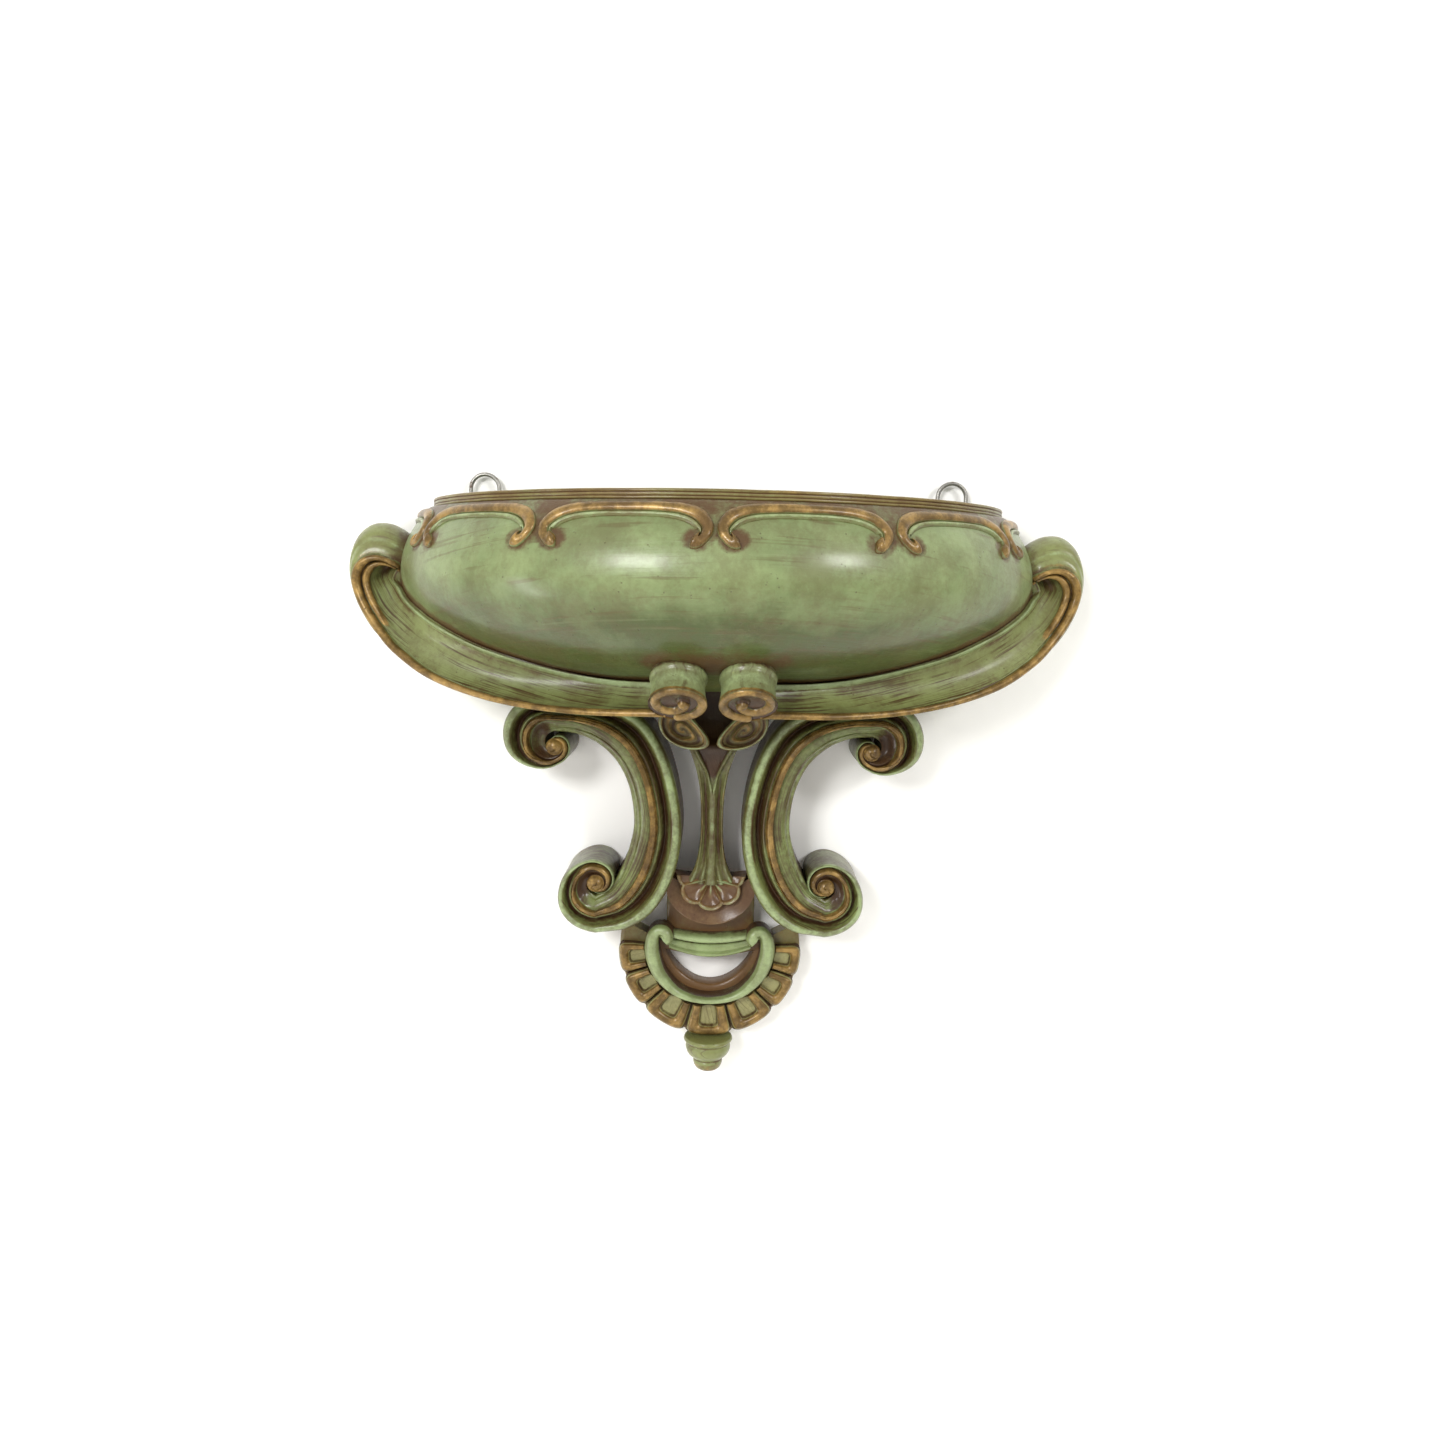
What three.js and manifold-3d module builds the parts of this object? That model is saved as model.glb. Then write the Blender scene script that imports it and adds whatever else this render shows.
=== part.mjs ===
// Half-round wall pocket on a pair of C-scroll brackets, in painted plaster.
//
// Millimetres, +Z up. The wall is the plane y = 0 and the object stands out of it
// towards -Y. The origin is on the wall, midway between the two hanging loops, at the
// height where the nails bear.

import * as THREE from 'three';
import { mergeVertices } from 'three/addons/utils/BufferGeometryUtils.js';
import Module from 'manifold-3d';

const wasm = await Module();
wasm.setup();

// ---- Driving dimensions ----------------------------------------------------------

const GAP = 0.3;               // clearance between bedded pieces

const RIM_TOP = -15;           // height of the mouth of the bowl
const RIM_HEIGHT = 5;          // height of the moulding round the mouth
const BELLY_Z = -57;           // height of the widest girth
const BELLY_HALF_WIDTH = 184;
const BELLY_DEPTH = 147;
const UPPER_RISE_SIDE = 88;    // vertical radius of the side profile above the belly
const UPPER_RISE_FRONT = 80;   // the same at the middle of the front
const LOWER_DROP = 66;         // vertical radius of the profile below the belly
const BOWL_BOTTOM = -119;
const PLAN_POWER = 1.9;        // superellipse power of the girth
const WALL = 11;               // thickness of the bowl's curved wall
const BACK_WALL = 12;
const FLOOR_Z = -102;          // inside floor of the bowl
const INNER_DROP = 54;

const LOOP_X = 136.3;          // centre of each hanging loop
const LOOP_HALF = 8.25;        // half the distance between a loop's legs
const LOOP_FOOT = -35;
const LOOP_Y = -3.5;
const WIRE_R = 1.2;
const LEG_HOLE_R = 1.75;

const SCROLL_COUNT = 6;        // C-scrolls round the girth under the rim
const SCROLL_TOP = -24.5;
const SCROLL_PROUD = 4.2;

const VOLUTE_X = 18.2;
const VOLUTE_R = 16;
const VOLUTE_LENGTH = 23;
const VOLUTE_TILT = 52;        // degrees that its face turns below the horizontal
const VOLUTE_POLE = { y: -97, z: -101.5 };  // middle of its hidden end

const BRACKET_DEPTH = 43;
const TOP_CURL = { x: 99.5, z: -144.6, r: 20.6 };
const LOW_CURL = { x: 66.7, z: -241.3, r: 21.5 };

const STRUT_TOP = BOWL_BOTTOM - 0.5;
const HEAD_Z = -150.9;          // the strut stands further out below this height
const STRUT_FOOT = -236;
const FAN_TOP = -234;
const FAN_BOTTOM = -262;

const PLAQUE_Z = -277.6;
const PLAQUE_R = 54.6;
const PLAQUE_THICK = 13;
const SLOT_HALF_WIDTH = 27;
const TAB_COUNT = 7;
const TAB_INNER_R = 36;
const TAB_THICK = 6;
const FRAME_THICK = 15;

const FINIAL_Y = -15;
const FINIAL_TOP = PLAQUE_Z - PLAQUE_R - 0.7;

// ---- Finishes ------------------------------------------------------------------

const SAGE = { color: 0x86a67e, roughness: 0.42, metalness: 0 };
const OLIVE = { color: 0x6f7f4e, roughness: 0.48, metalness: 0 };
const GOLD = { color: 0xa67c45, roughness: 0.4, metalness: 0.35 };
const UMBER = { color: 0x5a4433, roughness: 0.6, metalness: 0 };
const STEEL = { color: 0x77756f, roughness: 0.45, metalness: 0.9 };

// ---- Solids ----------------------------------------------------------------------

const X = (v) => v[0];
const Z = (v) => v[1];
const vec = (x, y, z) => new THREE.Vector3(x, y, z);
const radians = THREE.MathUtils.degToRad;

function solid(geometry) {
  const bare = geometry.clone();
  bare.deleteAttribute('normal');
  bare.deleteAttribute('uv');
  const merged = mergeVertices(bare, 1e-4);
  return new wasm.Manifold(new wasm.Mesh({
    numProp: 3,
    vertProperties: new Float32Array(merged.attributes.position.array),
    triVerts: new Uint32Array(merged.index.array),
  }));
}

function geometryOf(manifold) {
  const mesh = manifold.getMesh();
  const geometry = new THREE.BufferGeometry();
  geometry.setAttribute('position', new THREE.BufferAttribute(mesh.vertProperties, 3));
  geometry.setIndex(new THREE.BufferAttribute(mesh.triVerts, 1));
  return geometry;
}

// A closed skin over a row of rings, each a closed loop with the same number of points.
// Each end is closed by a fan about the ring's middle.
function loft(rings) {
  const count = rings[0].length;
  const positions = rings.flat().flatMap((p) => [p.x, p.y, p.z]);
  const faces = [];
  for (let r = 0; r + 1 < rings.length; r += 1) {
    for (let i = 0; i < count; i += 1) {
      const a = r * count + i;
      const b = r * count + (i + 1) % count;
      faces.push(a, b, b + count, a, b + count, a + count);
    }
  }
  const addCap = (ring, first, turned) => {
    const middle = ring.reduce((sum, p) => sum.add(p), vec(0, 0, 0)).divideScalar(count);
    const hub = positions.length / 3;
    positions.push(middle.x, middle.y, middle.z);
    for (let i = 0; i < count; i += 1) {
      const [a, b] = turned ? [(i + 1) % count, i] : [i, (i + 1) % count];
      faces.push(hub, first + a, first + b);
    }
  };
  addCap(rings[0], 0, true);
  addCap(rings.at(-1), (rings.length - 1) * count, false);
  const geometry = new THREE.BufferGeometry();
  geometry.setAttribute('position', new THREE.Float32BufferAttribute(positions, 3));
  geometry.setIndex(faces);
  return facingOut(geometry);
}

function turnedInsideOut(geometry) {
  const index = geometry.index.array;
  for (let i = 0; i < index.length; i += 3) {
    [index[i + 1], index[i + 2]] = [index[i + 2], index[i + 1]];
  }
  return geometry;
}

function facingOut(geometry) {
  const at = geometry.attributes.position;
  const index = geometry.index.array;
  const [a, b, c] = [vec(0, 0, 0), vec(0, 0, 0), vec(0, 0, 0)];
  let volume = 0;
  for (let i = 0; i < index.length; i += 3) {
    a.fromBufferAttribute(at, index[i]);
    b.fromBufferAttribute(at, index[i + 1]);
    c.fromBufferAttribute(at, index[i + 2]);
    volume += a.dot(b.cross(c));
  }
  return volume < 0 ? turnedInsideOut(geometry) : geometry;
}

function mirrored(geometry) {
  const copy = geometry.clone();
  copy.scale(-1, 1, 1);
  return turnedInsideOut(copy);
}

function box(xMin, xMax, yMin, yMax, zMin, zMax) {
  const geometry = new THREE.BoxGeometry(xMax - xMin, yMax - yMin, zMax - zMin);
  geometry.translate((xMin + xMax) / 2, (yMin + yMax) / 2, (zMin + zMax) / 2);
  return solid(geometry);
}

// A shape drawn in x and z, given thickness from the wall side `near` out to `far`.
function slab(shape, near, far, options = {}) {
  const geometry = new THREE.ExtrudeGeometry(shape, {
    depth: far - near,
    bevelEnabled: false,
    curveSegments: 12,
    ...options,
  });
  geometry.rotateX(Math.PI / 2);
  geometry.translate(0, -near, 0);
  return solid(geometry);
}

const onThisSideOfWall = (piece) => piece.subtract(box(-300, 300, 0, 60, -420, 60));

// ---- Bowl ------------------------------------------------------------------------

// Half width and depth of the bowl's girth at height z.
function girth(z) {
  const above = Math.max(z - BELLY_Z, 0);
  const below = Math.min(Math.max(BELLY_Z - z, 0), LOWER_DROP - 1);
  const lower = Math.sqrt(1 - (below / LOWER_DROP) ** 2);
  return {
    side: BELLY_HALF_WIDTH * lower * Math.sqrt(1 - (above / UPPER_RISE_SIDE) ** 2),
    front: BELLY_DEPTH * lower * Math.sqrt(1 - (above / UPPER_RISE_FRONT) ** 2),
  };
}

// A point on the bowl's face: angle 0 is the right-hand end, 180 the left-hand end.
function onBowl(angle, z, proud = 0) {
  const { side, front } = girth(z);
  const c = Math.cos(radians(angle));
  const s = Math.sin(radians(angle));
  const x = (side + proud) * Math.sign(c) * Math.abs(c) ** (2 / PLAN_POWER);
  const y = -(front + proud) * Math.abs(s) ** (2 / PLAN_POWER);
  return vec(x, y, z);
}

// The outward normal of the bowl's face.
function bowlNormal(angle, z) {
  const round = onBowl(angle - 0.5, z).sub(onBowl(angle + 0.5, z));
  const up = onBowl(angle, z + 0.5).sub(onBowl(angle, z - 0.5));
  return round.cross(up).normalize();
}

function halfRound(z, side, front, back, steps) {
  const ring = [];
  for (let i = 0; i <= steps; i += 1) {
    const c = Math.cos(Math.PI * i / steps);
    const s = Math.sin(Math.PI * i / steps);
    const x = side * Math.sign(c) * Math.abs(c) ** (2 / PLAN_POWER);
    ring.push(vec(x, -back - (front - back) * Math.abs(s) ** (2 / PLAN_POWER), z));
  }
  return ring;
}

// The bowl's outside, let out all round by `grow`.
function bowlBody(grow) {
  const heights = [-20.3, -30, -43, BELLY_Z, -70, -83, -95, -105, -113, BOWL_BOTTOM];
  return solid(loft(heights.map((z) => {
    const { side, front } = girth(z);
    const away = grow * Math.sign(z - BELLY_Z);
    return halfRound(z + away, side + grow, front + grow, 0, 32);
  })));
}

function bowlHollow() {
  const heights = [-10, RIM_TOP, -30, BELLY_Z, -80, -92, FLOOR_Z];
  return solid(loft(heights.map((z) => {
    const { side, front } = girth(Math.max(z, BELLY_Z));
    const drop = Math.sqrt(1 - (Math.max(BELLY_Z - z, 0) / INNER_DROP) ** 2);
    return halfRound(z, (side - WALL) * drop, (front - WALL) * drop, BACK_WALL, 28);
  })));
}

function legHole(x) {
  const hole = new THREE.CylinderGeometry(LEG_HOLE_R, LEG_HOLE_R, 30, 10);
  hole.rotateX(Math.PI / 2);
  hole.translate(x, LOOP_Y, LOOP_FOOT - 0.5 + 15);
  return solid(hole);
}

const RIM_INNER_END = girth(RIM_TOP).side - WALL - 2.5;

function bowl() {
  const upstand = box(-RIM_INNER_END, RIM_INNER_END, -BACK_WALL, 0, -24, RIM_TOP);
  let body = bowlBody(0).subtract(bowlHollow()).add(upstand);
  for (const side of [-1, 1]) {
    for (const leg of [-1, 1]) {
      body = body.subtract(legHole(side * LOOP_X + leg * LOOP_HALF));
    }
  }
  return body;
}

// The moulding caps the curved wall and stops against the wall at both ends.
function rimMoulding() {
  const bottom = RIM_TOP - RIM_HEIGHT;
  const { side, front } = girth(RIM_TOP - RIM_HEIGHT / 2);
  const levels = [
    [bottom, -0.8],
    [bottom + 1, 1],
    [bottom + 2.2, 0.1],
    [bottom + 3.6, 1],
    [RIM_TOP - 0.2, 0.4],
    [RIM_TOP, -0.8],
  ];
  const outer = solid(loft(levels.map(([z, out]) => halfRound(z, side + out, front + out, 0, 32))));
  const inner = solid(loft([bottom - 1, RIM_TOP + 1].map(
    (z) => halfRound(z, side - WALL + 0.5, front - WALL + 0.5, -1, 28),
  )));
  const backWall = box(-RIM_INNER_END - GAP, RIM_INNER_END + GAP, -BACK_WALL - GAP, 1, -30, 0);
  return outer.subtract(inner).subtract(backWall);
}

function hangingLoop(side) {
  const crown = WIRE_R - LOOP_HALF;
  const path = new THREE.CurvePath();
  const arc = [];
  for (let i = 0; i <= 16; i += 1) {
    const a = Math.PI * (1 - i / 16);
    arc.push(vec(LOOP_HALF * Math.cos(a), 0, crown + LOOP_HALF * Math.sin(a)));
  }
  const foot = vec(-LOOP_HALF, 0, LOOP_FOOT);
  path.add(new THREE.LineCurve3(foot, arc[0]));
  path.add(new THREE.CatmullRomCurve3(arc));
  path.add(new THREE.LineCurve3(arc.at(-1), foot.clone().setX(LOOP_HALF)));
  const section = new THREE.Shape();
  section.absarc(0, 0, WIRE_R, 0, 2 * Math.PI);
  const wire = new THREE.ExtrudeGeometry(section, {
    steps: 28,
    curveSegments: 4,
    extrudePath: path,
    bevelEnabled: false,
  });
  wire.translate(side * LOOP_X, LOOP_Y, 0);
  return solid(wire);
}

// ---- Frieze scrolls --------------------------------------------------------------

// Half of a C-scroll, from the middle of its arch out to the ball of its tail:
// how far round, how far below the arch's top, and how wide it is there.
const SCROLL_HALF = [
  { round: 0, drop: 0, half: 2.9 },
  { round: 0.35, drop: 0.1, half: 3.1 },
  { round: 0.66, drop: 1.2, half: 3.5 },
  { round: 0.85, drop: 4.4, half: 3.6 },
  { round: 0.93, drop: 9.4, half: 3.2 },
  { round: 0.88, drop: 13.6, half: 3.3 },
  { round: 0.8, drop: 16, half: 4.4 },
];

// The half that runs back to the wall on the two end scrolls, above the ear.
const SCROLL_TO_WALL = [
  { round: 0, drop: 0, half: 2.9 },
  { round: 0.35, drop: 0.1, half: 2.9 },
  { round: 0.66, drop: 0.8, half: 2.5 },
  { round: 0.9, drop: 2, half: 2 },
];

function friezeScroll(index) {
  const pitch = 180 / SCROLL_COUNT;
  const middle = pitch * (index + 0.5);
  const rightHalf = index === 0 ? SCROLL_TO_WALL : SCROLL_HALF;
  const leftHalf = index === SCROLL_COUNT - 1 ? SCROLL_TO_WALL : SCROLL_HALF;
  const wholePath = [
    ...leftHalf.slice(1).reverse().map((s) => ({ ...s, round: -s.round })),
    ...rightHalf,
  ];
  const curve = new THREE.CatmullRomCurve3(wholePath.map((s) => vec(s.round, s.drop, s.half)));
  const steps = 26;
  const stations = curve.getPoints(steps);
  const halfPitch = pitch / 2 - 0.6;
  const angleOf = (s) => middle - s.x * halfPitch;
  const heightOf = (s) => SCROLL_TOP - s.y;
  const place = (s) => onBowl(angleOf(s), heightOf(s));
  return solid(loft(stations.map((s, i) => {
    const here = place(s);
    const ahead = place(stations[Math.min(i + 1, steps)]);
    const behind = place(stations[Math.max(i - 1, 0)]);
    const along = ahead.sub(behind).normalize();
    const lift = bowlNormal(angleOf(s), heightOf(s));
    const across = along.clone().cross(lift).normalize();
    const half = s.z * (i === 0 || i === steps ? 0.45 : 1);
    return [[-1, 0], [-0.75, 0.75], [0, 1], [0.75, 0.75], [1, 0]].map(([a, h]) => (
      here.clone().addScaledVector(across, a * half).addScaledVector(lift, GAP + h * SCROLL_PROUD)
    ));
  })));
}

// ---- Swags, ears, volutes and buds ---------------------------------------------

// Upper edge of the right-hand swag, as angles round the bowl and heights.
const SWAG_UPPER = [
  [6, -52],
  [13.6, -62],
  [24, -78],
  [33, -95],
  [45, -106.5],
  [58, -110.5],
  [74, -110],
].map(([angle, z]) => onBowl(angle, z, -1));

// Its lower edge, where the bead runs.
const SWAG_LOWER = [
  vec(206, -18, -60),
  vec(202, -27, -75),
  vec(186.5, -42, -95),
  vec(152.5, -62, -115),
  vec(116, -76, -124.8),
  vec(73, -91, -128.5),
  vec(26, -100, -127.5),
];

function swag() {
  const upper = new THREE.CatmullRomCurve3(SWAG_UPPER);
  const lower = new THREE.CatmullRomCurve3(SWAG_LOWER);
  const steps = 20;
  const rings = [];
  for (let i = 0; i <= steps; i += 1) {
    const u = upper.getPoint(i / steps);
    const l = lower.getPoint(i / steps);
    const down = l.clone().sub(u);
    const width = down.length();
    down.normalize();
    const along = lower.getTangent(i / steps);
    const out = along.clone().cross(down).normalize();
    out.multiplyScalar(out.y > 0 ? -1 : 1);
    const onFace = (t, h) => u.clone().addScaledVector(down, t * width).addScaledVector(out, h);
    const back = Math.max(0.25, 6 - i);
    rings.push([
      onFace(0.02, 0),
      onFace(0.1, 1.5),
      onFace(0.3, -2.2),
      onFace(0.6, -3.2),
      onFace(0.84, -1.2),
      onFace(0.93, 1.4),
      onFace(1.02, 0.6),
      onFace(1.04, -2.2),
      vec(l.x * 0.93 - 3, -back, l.z + 7),
      vec(u.x * 0.9 - 3, -back, u.z + 5),
    ]);
  }
  return solid(loft(rings));
}

// The rolled-over outer end of the swag: egg-shaped sections along a bent spine.
function ear(grow) {
  const spine = new THREE.CatmullRomCurve3([
    vec(204, -22, -75),
    vec(202.2, -22, -64),
    vec(197.3, -21, -50),
    vec(188.5, -20, -41.5),
    vec(178, -19, -41),
  ]);
  const half = new THREE.CatmullRomCurve3([
    vec(2.4, 7, 0),
    vec(6, 13, 0),
    vec(11.2, 19, 0),
    vec(12.8, 19.5, 0),
    vec(9, 16, 0),
  ]);
  const steps = 10;
  const rings = [];
  for (let i = 0; i <= steps; i += 1) {
    const at = spine.getPoint(i / steps);
    const along = spine.getTangent(i / steps);
    const across = along.clone().cross(vec(0, 1, 0)).normalize();
    const { x: wide, y: deep } = half.getPoint(i / steps);
    const ring = [];
    for (let k = 0; k < 14; k += 1) {
      const a = 2 * Math.PI * k / 14;
      ring.push(at.clone()
        .addScaledVector(across, (wide + grow) * Math.cos(a))
        .add(vec(0, (deep + grow) * Math.sin(a), 0)));
    }
    rings.push(ring);
  }
  rings[0].forEach((p) => p.z -= grow);
  return solid(loft(rings));
}

function volute(grow) {
  const r = VOLUTE_R + grow;
  const l = VOLUTE_LENGTH + grow;
  const profile = [
    [0, -grow],
    [r * 0.8, -grow],
    [r * 0.93, l * 0.2],
    [r * 0.97, l * 0.6],
    [r, l * 0.85],
    [r * 0.9, l],
    [r * 0.6, l * 0.95],
    [r * 0.25, l * 1.06],
    [0, l * 1.06],
  ];
  const drum = new THREE.LatheGeometry(profile.map(([x, y]) => new THREE.Vector2(x, y)), 18);
  drum.rotateX(-Math.PI + radians(90 - VOLUTE_TILT));
  drum.translate(VOLUTE_X, VOLUTE_POLE.y, VOLUTE_POLE.z);
  return solid(drum);
}

// A leaf bud hanging below the volute towards the middle.
function bud() {
  const spine = new THREE.CatmullRomCurve3([
    vec(31, -45, -128),
    vec(22, -47, -131),
    vec(13, -48, -138),
    vec(7.5, -47, -148),
  ]);
  const steps = 8;
  const rings = [];
  for (let i = 0; i <= steps; i += 1) {
    const t = i / steps;
    const at = spine.getPoint(t);
    const along = spine.getTangent(t);
    const across = along.clone().cross(vec(0, 1, 0)).normalize();
    const wide = 1.5 + 5.2 * Math.sin(Math.PI * Math.min(0.12 + 0.88 * t, 0.97));
    const ring = [];
    for (let k = 0; k < 10; k += 1) {
      const a = 2 * Math.PI * k / 10;
      const y = Math.sin(a) > 0 ? 20 * Math.sin(a) : 8 * Math.sin(a);
      ring.push(at.clone().addScaledVector(across, wide * Math.cos(a)).add(vec(0, y, 0)));
    }
    rings.push(ring);
  }
  return solid(loft(rings));
}

// ---- Brackets ----------------------------------------------------------------------

function bracketOutline() {
  const shape = new THREE.Shape();
  shape.moveTo(TOP_CURL.x - TOP_CURL.r, TOP_CURL.z);
  shape.absarc(TOP_CURL.x, TOP_CURL.z, TOP_CURL.r, Math.PI, Math.PI / 2, false);
  const outside = [[72, -125], [50, -129.5], [36, -140], [26.5, -158], [19.5, -180],
    [17.3, -201], [20, -224], [27.5, -242.5], [40, -256], [53, -262]];
  shape.splineThru(outside.map((p) => new THREE.Vector2(X(p), Z(p))));
  shape.absarc(LOW_CURL.x, LOW_CURL.z, LOW_CURL.r, radians(255), radians(128), false);
  const inside = [[49, -213], [45, -196], [47.2, -178], [54.5, -162], [65, -151.5]];
  shape.splineThru(inside.map((p) => new THREE.Vector2(X(p), Z(p))));
  return shape;
}

function bracket() {
  return onThisSideOfWall(slab(bracketOutline(), -6, BRACKET_DEPTH - 4, {
    bevelEnabled: true,
    bevelThickness: 4,
    bevelSize: 3.5,
    bevelOffset: -3.5,
    bevelSegments: 2,
    curveSegments: 5,
  }));
}

function bracketClearance() {
  return slab(bracketOutline(), -1, BRACKET_DEPTH, {
    bevelEnabled: true,
    bevelThickness: GAP,
    bevelSize: GAP,
    bevelSegments: 1,
    curveSegments: 5,
  });
}

// ---- Strut and fan leaf -------------------------------------------------------------

// Half width and depth of the strut, from the block behind the buds to its foot.
const STRUT = [
  { z: STRUT_TOP, half: 19, depth: 25 },
  { z: -136, half: 17, depth: 25 },
  { z: HEAD_Z, half: 15, depth: 25 },
  { z: HEAD_Z - 0.4, half: 14.8, depth: 36.5 },
  { z: -158, half: 12, depth: 35.5 },
  { z: -170, half: 8.6, depth: 33 },
  { z: -184, half: 6.9, depth: 31 },
  { z: -200, half: 6.4, depth: 29.5 },
  { z: -214, half: 7.4, depth: 28.5 },
  { z: -226, half: 10.4, depth: 28 },
  { z: STRUT_FOOT + 2.4, half: 14.5, depth: 28 },
];

function strut() {
  return solid(loft(STRUT.map(({ z, half, depth }) => [
    vec(-half * 0.75, 0, z),
    vec(-half, -depth * 0.5, z),
    vec(-half * 0.9, -depth * 0.86, z),
    vec(-half * 0.3, -depth, z),
    vec(half * 0.3, -depth, z),
    vec(half * 0.9, -depth * 0.86, z),
    vec(half, -depth * 0.5, z),
    vec(half * 0.75, 0, z),
  ])));
}

function fanLeaf() {
  const shape = new THREE.Shape();
  shape.moveTo(-20, FAN_TOP);
  shape.lineTo(20, FAN_TOP);
  shape.quadraticCurveTo(27, -241, 26, -249);
  shape.quadraticCurveTo(20, -257, 11, -257.5);
  shape.quadraticCurveTo(6, -262, 0, FAN_BOTTOM);
  shape.quadraticCurveTo(-6, -262, -11, -257.5);
  shape.quadraticCurveTo(-20, -257, -26, -249);
  shape.quadraticCurveTo(-27, -241, -20, FAN_TOP);
  return slab(shape, PLAQUE_THICK + GAP, 25, {
    bevelEnabled: true,
    bevelThickness: 3,
    bevelSize: 3,
    bevelOffset: -3,
    bevelSegments: 1,
    curveSegments: 5,
  }).subtract(box(-60, 60, -PLAQUE_THICK - GAP, 0, -300, -200));
}

// ---- Base plaque, frame, tabs and finial ----------------------------------------------

function slotOutline() {
  const shape = new THREE.Shape();
  shape.moveTo(-SLOT_HALF_WIDTH, PLAQUE_Z - 1.6);
  shape.quadraticCurveTo(0, PLAQUE_Z - 10, SLOT_HALF_WIDTH, PLAQUE_Z - 1.6);
  shape.bezierCurveTo(21, -306, -21, -306, -SLOT_HALF_WIDTH, PLAQUE_Z - 1.6);
  return shape;
}

function basePlaque() {
  const disc = new THREE.Shape();
  disc.absarc(0, PLAQUE_Z, PLAQUE_R, radians(158), radians(382), false);
  disc.lineTo(31, FAN_TOP);
  disc.lineTo(-31, FAN_TOP);
  const plate = slab(disc, 0, PLAQUE_THICK, { curveSegments: 40 });
  const slot = slab(slotOutline(), -2, PLAQUE_THICK + 2, { curveSegments: 14 });
  return plate.subtract(slot);
}

// Bands across the plaque above the slot, between the curls of the frame.
function slotBrow() {
  const shape = new THREE.Shape();
  shape.moveTo(-23.8, PLAQUE_Z + 12);
  shape.quadraticCurveTo(0, PLAQUE_Z + 7, 23.8, PLAQUE_Z + 12);
  shape.lineTo(24.8, PLAQUE_Z + 1.5);
  shape.quadraticCurveTo(0, PLAQUE_Z - 10, -24.8, PLAQUE_Z + 1.5);
  return slab(shape, PLAQUE_THICK + GAP, PLAQUE_THICK + 11, { curveSegments: 10 });
}

// Bead round the slot: a crescent that is thick at the sides and ends in two curls.
function crescentFrame() {
  const steps = 30;
  const rings = [];
  for (let i = 0; i <= steps; i += 1) {
    const t = 2 * i / steps - 1;
    const swing = radians(-90 + 106 * t);
    const side = Math.abs(t);
    const r = 30 + 4.2 * side;
    const half = 2 + 2.6 * side ** 1.5;
    const at = vec(r * Math.cos(swing), 0, PLAQUE_Z - 1 + 0.98 * r * Math.sin(swing));
    const out = vec(Math.cos(swing), 0, Math.sin(swing));
    const front = -(PLAQUE_THICK + FRAME_THICK);
    const back = -(PLAQUE_THICK + GAP);
    rings.push([[-1, back], [-1, front + 3], [-0.4, front], [0.4, front], [1, front + 3], [1, back]]
      .map(([a, y]) => at.clone().addScaledVector(out, a * half).setY(y)));
  }
  let frame = solid(loft(rings));
  for (const side of [-1, 1]) {
    const curl = new THREE.CylinderGeometry(4.9, 4.9, FRAME_THICK - GAP, 14);
    curl.translate(side * 29.4, -(PLAQUE_THICK + (FRAME_THICK + GAP) / 2), PLAQUE_Z + 11);
    frame = frame.add(solid(curl));
  }
  return frame;
}

// Where the tabs are divided, in degrees below the horizontal on each side.
const TAB_EDGES = [-4, 18.4, 43, 74, 106, 137, 161.6, 184];

function tabOutline(index) {
  const trim = 0.9;
  const from = -radians(TAB_EDGES[index] + trim);
  const to = -radians(TAB_EDGES[index + 1] - trim);
  const middle = (from + to) / 2;
  const point = (r, a) => new THREE.Vector2(r * Math.cos(a), PLAQUE_Z + r * Math.sin(a));
  const inner = (a) => point(TAB_INNER_R + 3.4 * Math.cos(a) ** 2, a);
  const legs = (from - to) * 0.24;
  const shape = new THREE.Shape();
  shape.setFromPoints([
    inner(from),
    point(PLAQUE_R - 2, from),
    point(PLAQUE_R, from - legs * 0.5),
    point(PLAQUE_R + 0.4, middle),
    point(PLAQUE_R, to + legs * 0.5),
    point(PLAQUE_R - 2, to),
    inner(to),
    inner(to + legs),
    point(PLAQUE_R - 6.5, to + legs * 1.1),
    point(PLAQUE_R - 5.6, middle),
    point(PLAQUE_R - 6.5, from - legs * 1.1),
    inner(from - legs),
  ]);
  return shape;
}

function plaqueTab(index) {
  return slab(tabOutline(index), PLAQUE_THICK + GAP, PLAQUE_THICK + TAB_THICK);
}

function finial() {
  const profile = [
    [0, 0],
    [13, 0],
    [14.8, -1.2],
    [14.4, -2.8],
    [13, -3.6],
    [13.6, -6.4],
    [12.2, -10],
    [9.2, -12.8],
    [8.3, -13.6],
    [8.8, -15],
    [7.6, -18.6],
    [4.4, -21.2],
    [0, -22],
  ];
  const turned = new THREE.LatheGeometry(profile.map(([x, y]) => new THREE.Vector2(x, y)), 16);
  turned.rotateX(Math.PI / 2);
  turned.translate(0, FINIAL_Y, FINIAL_TOP);
  return solid(facingOut(mergeVertices(turned.deleteAttribute('normal').deleteAttribute('uv'))));
}

// ---- Assembly ------------------------------------------------------------------------

const model = new THREE.Group();
model.name = 'wall_pocket';

function add(name, manifold, finish) {
  const mesh = new THREE.Mesh(geometryOf(manifold), new THREE.MeshStandardMaterial(finish));
  mesh.name = name;
  model.add(mesh);
}

function addPair(name, rightHand, finish) {
  const right = geometryOf(rightHand);
  for (const [suffix, geometry] of [['right', right], ['left', mirrored(right)]]) {
    const mesh = new THREE.Mesh(geometry, new THREE.MeshStandardMaterial(finish));
    mesh.name = `${name}_${suffix}`;
    model.add(mesh);
  }
}

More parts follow.
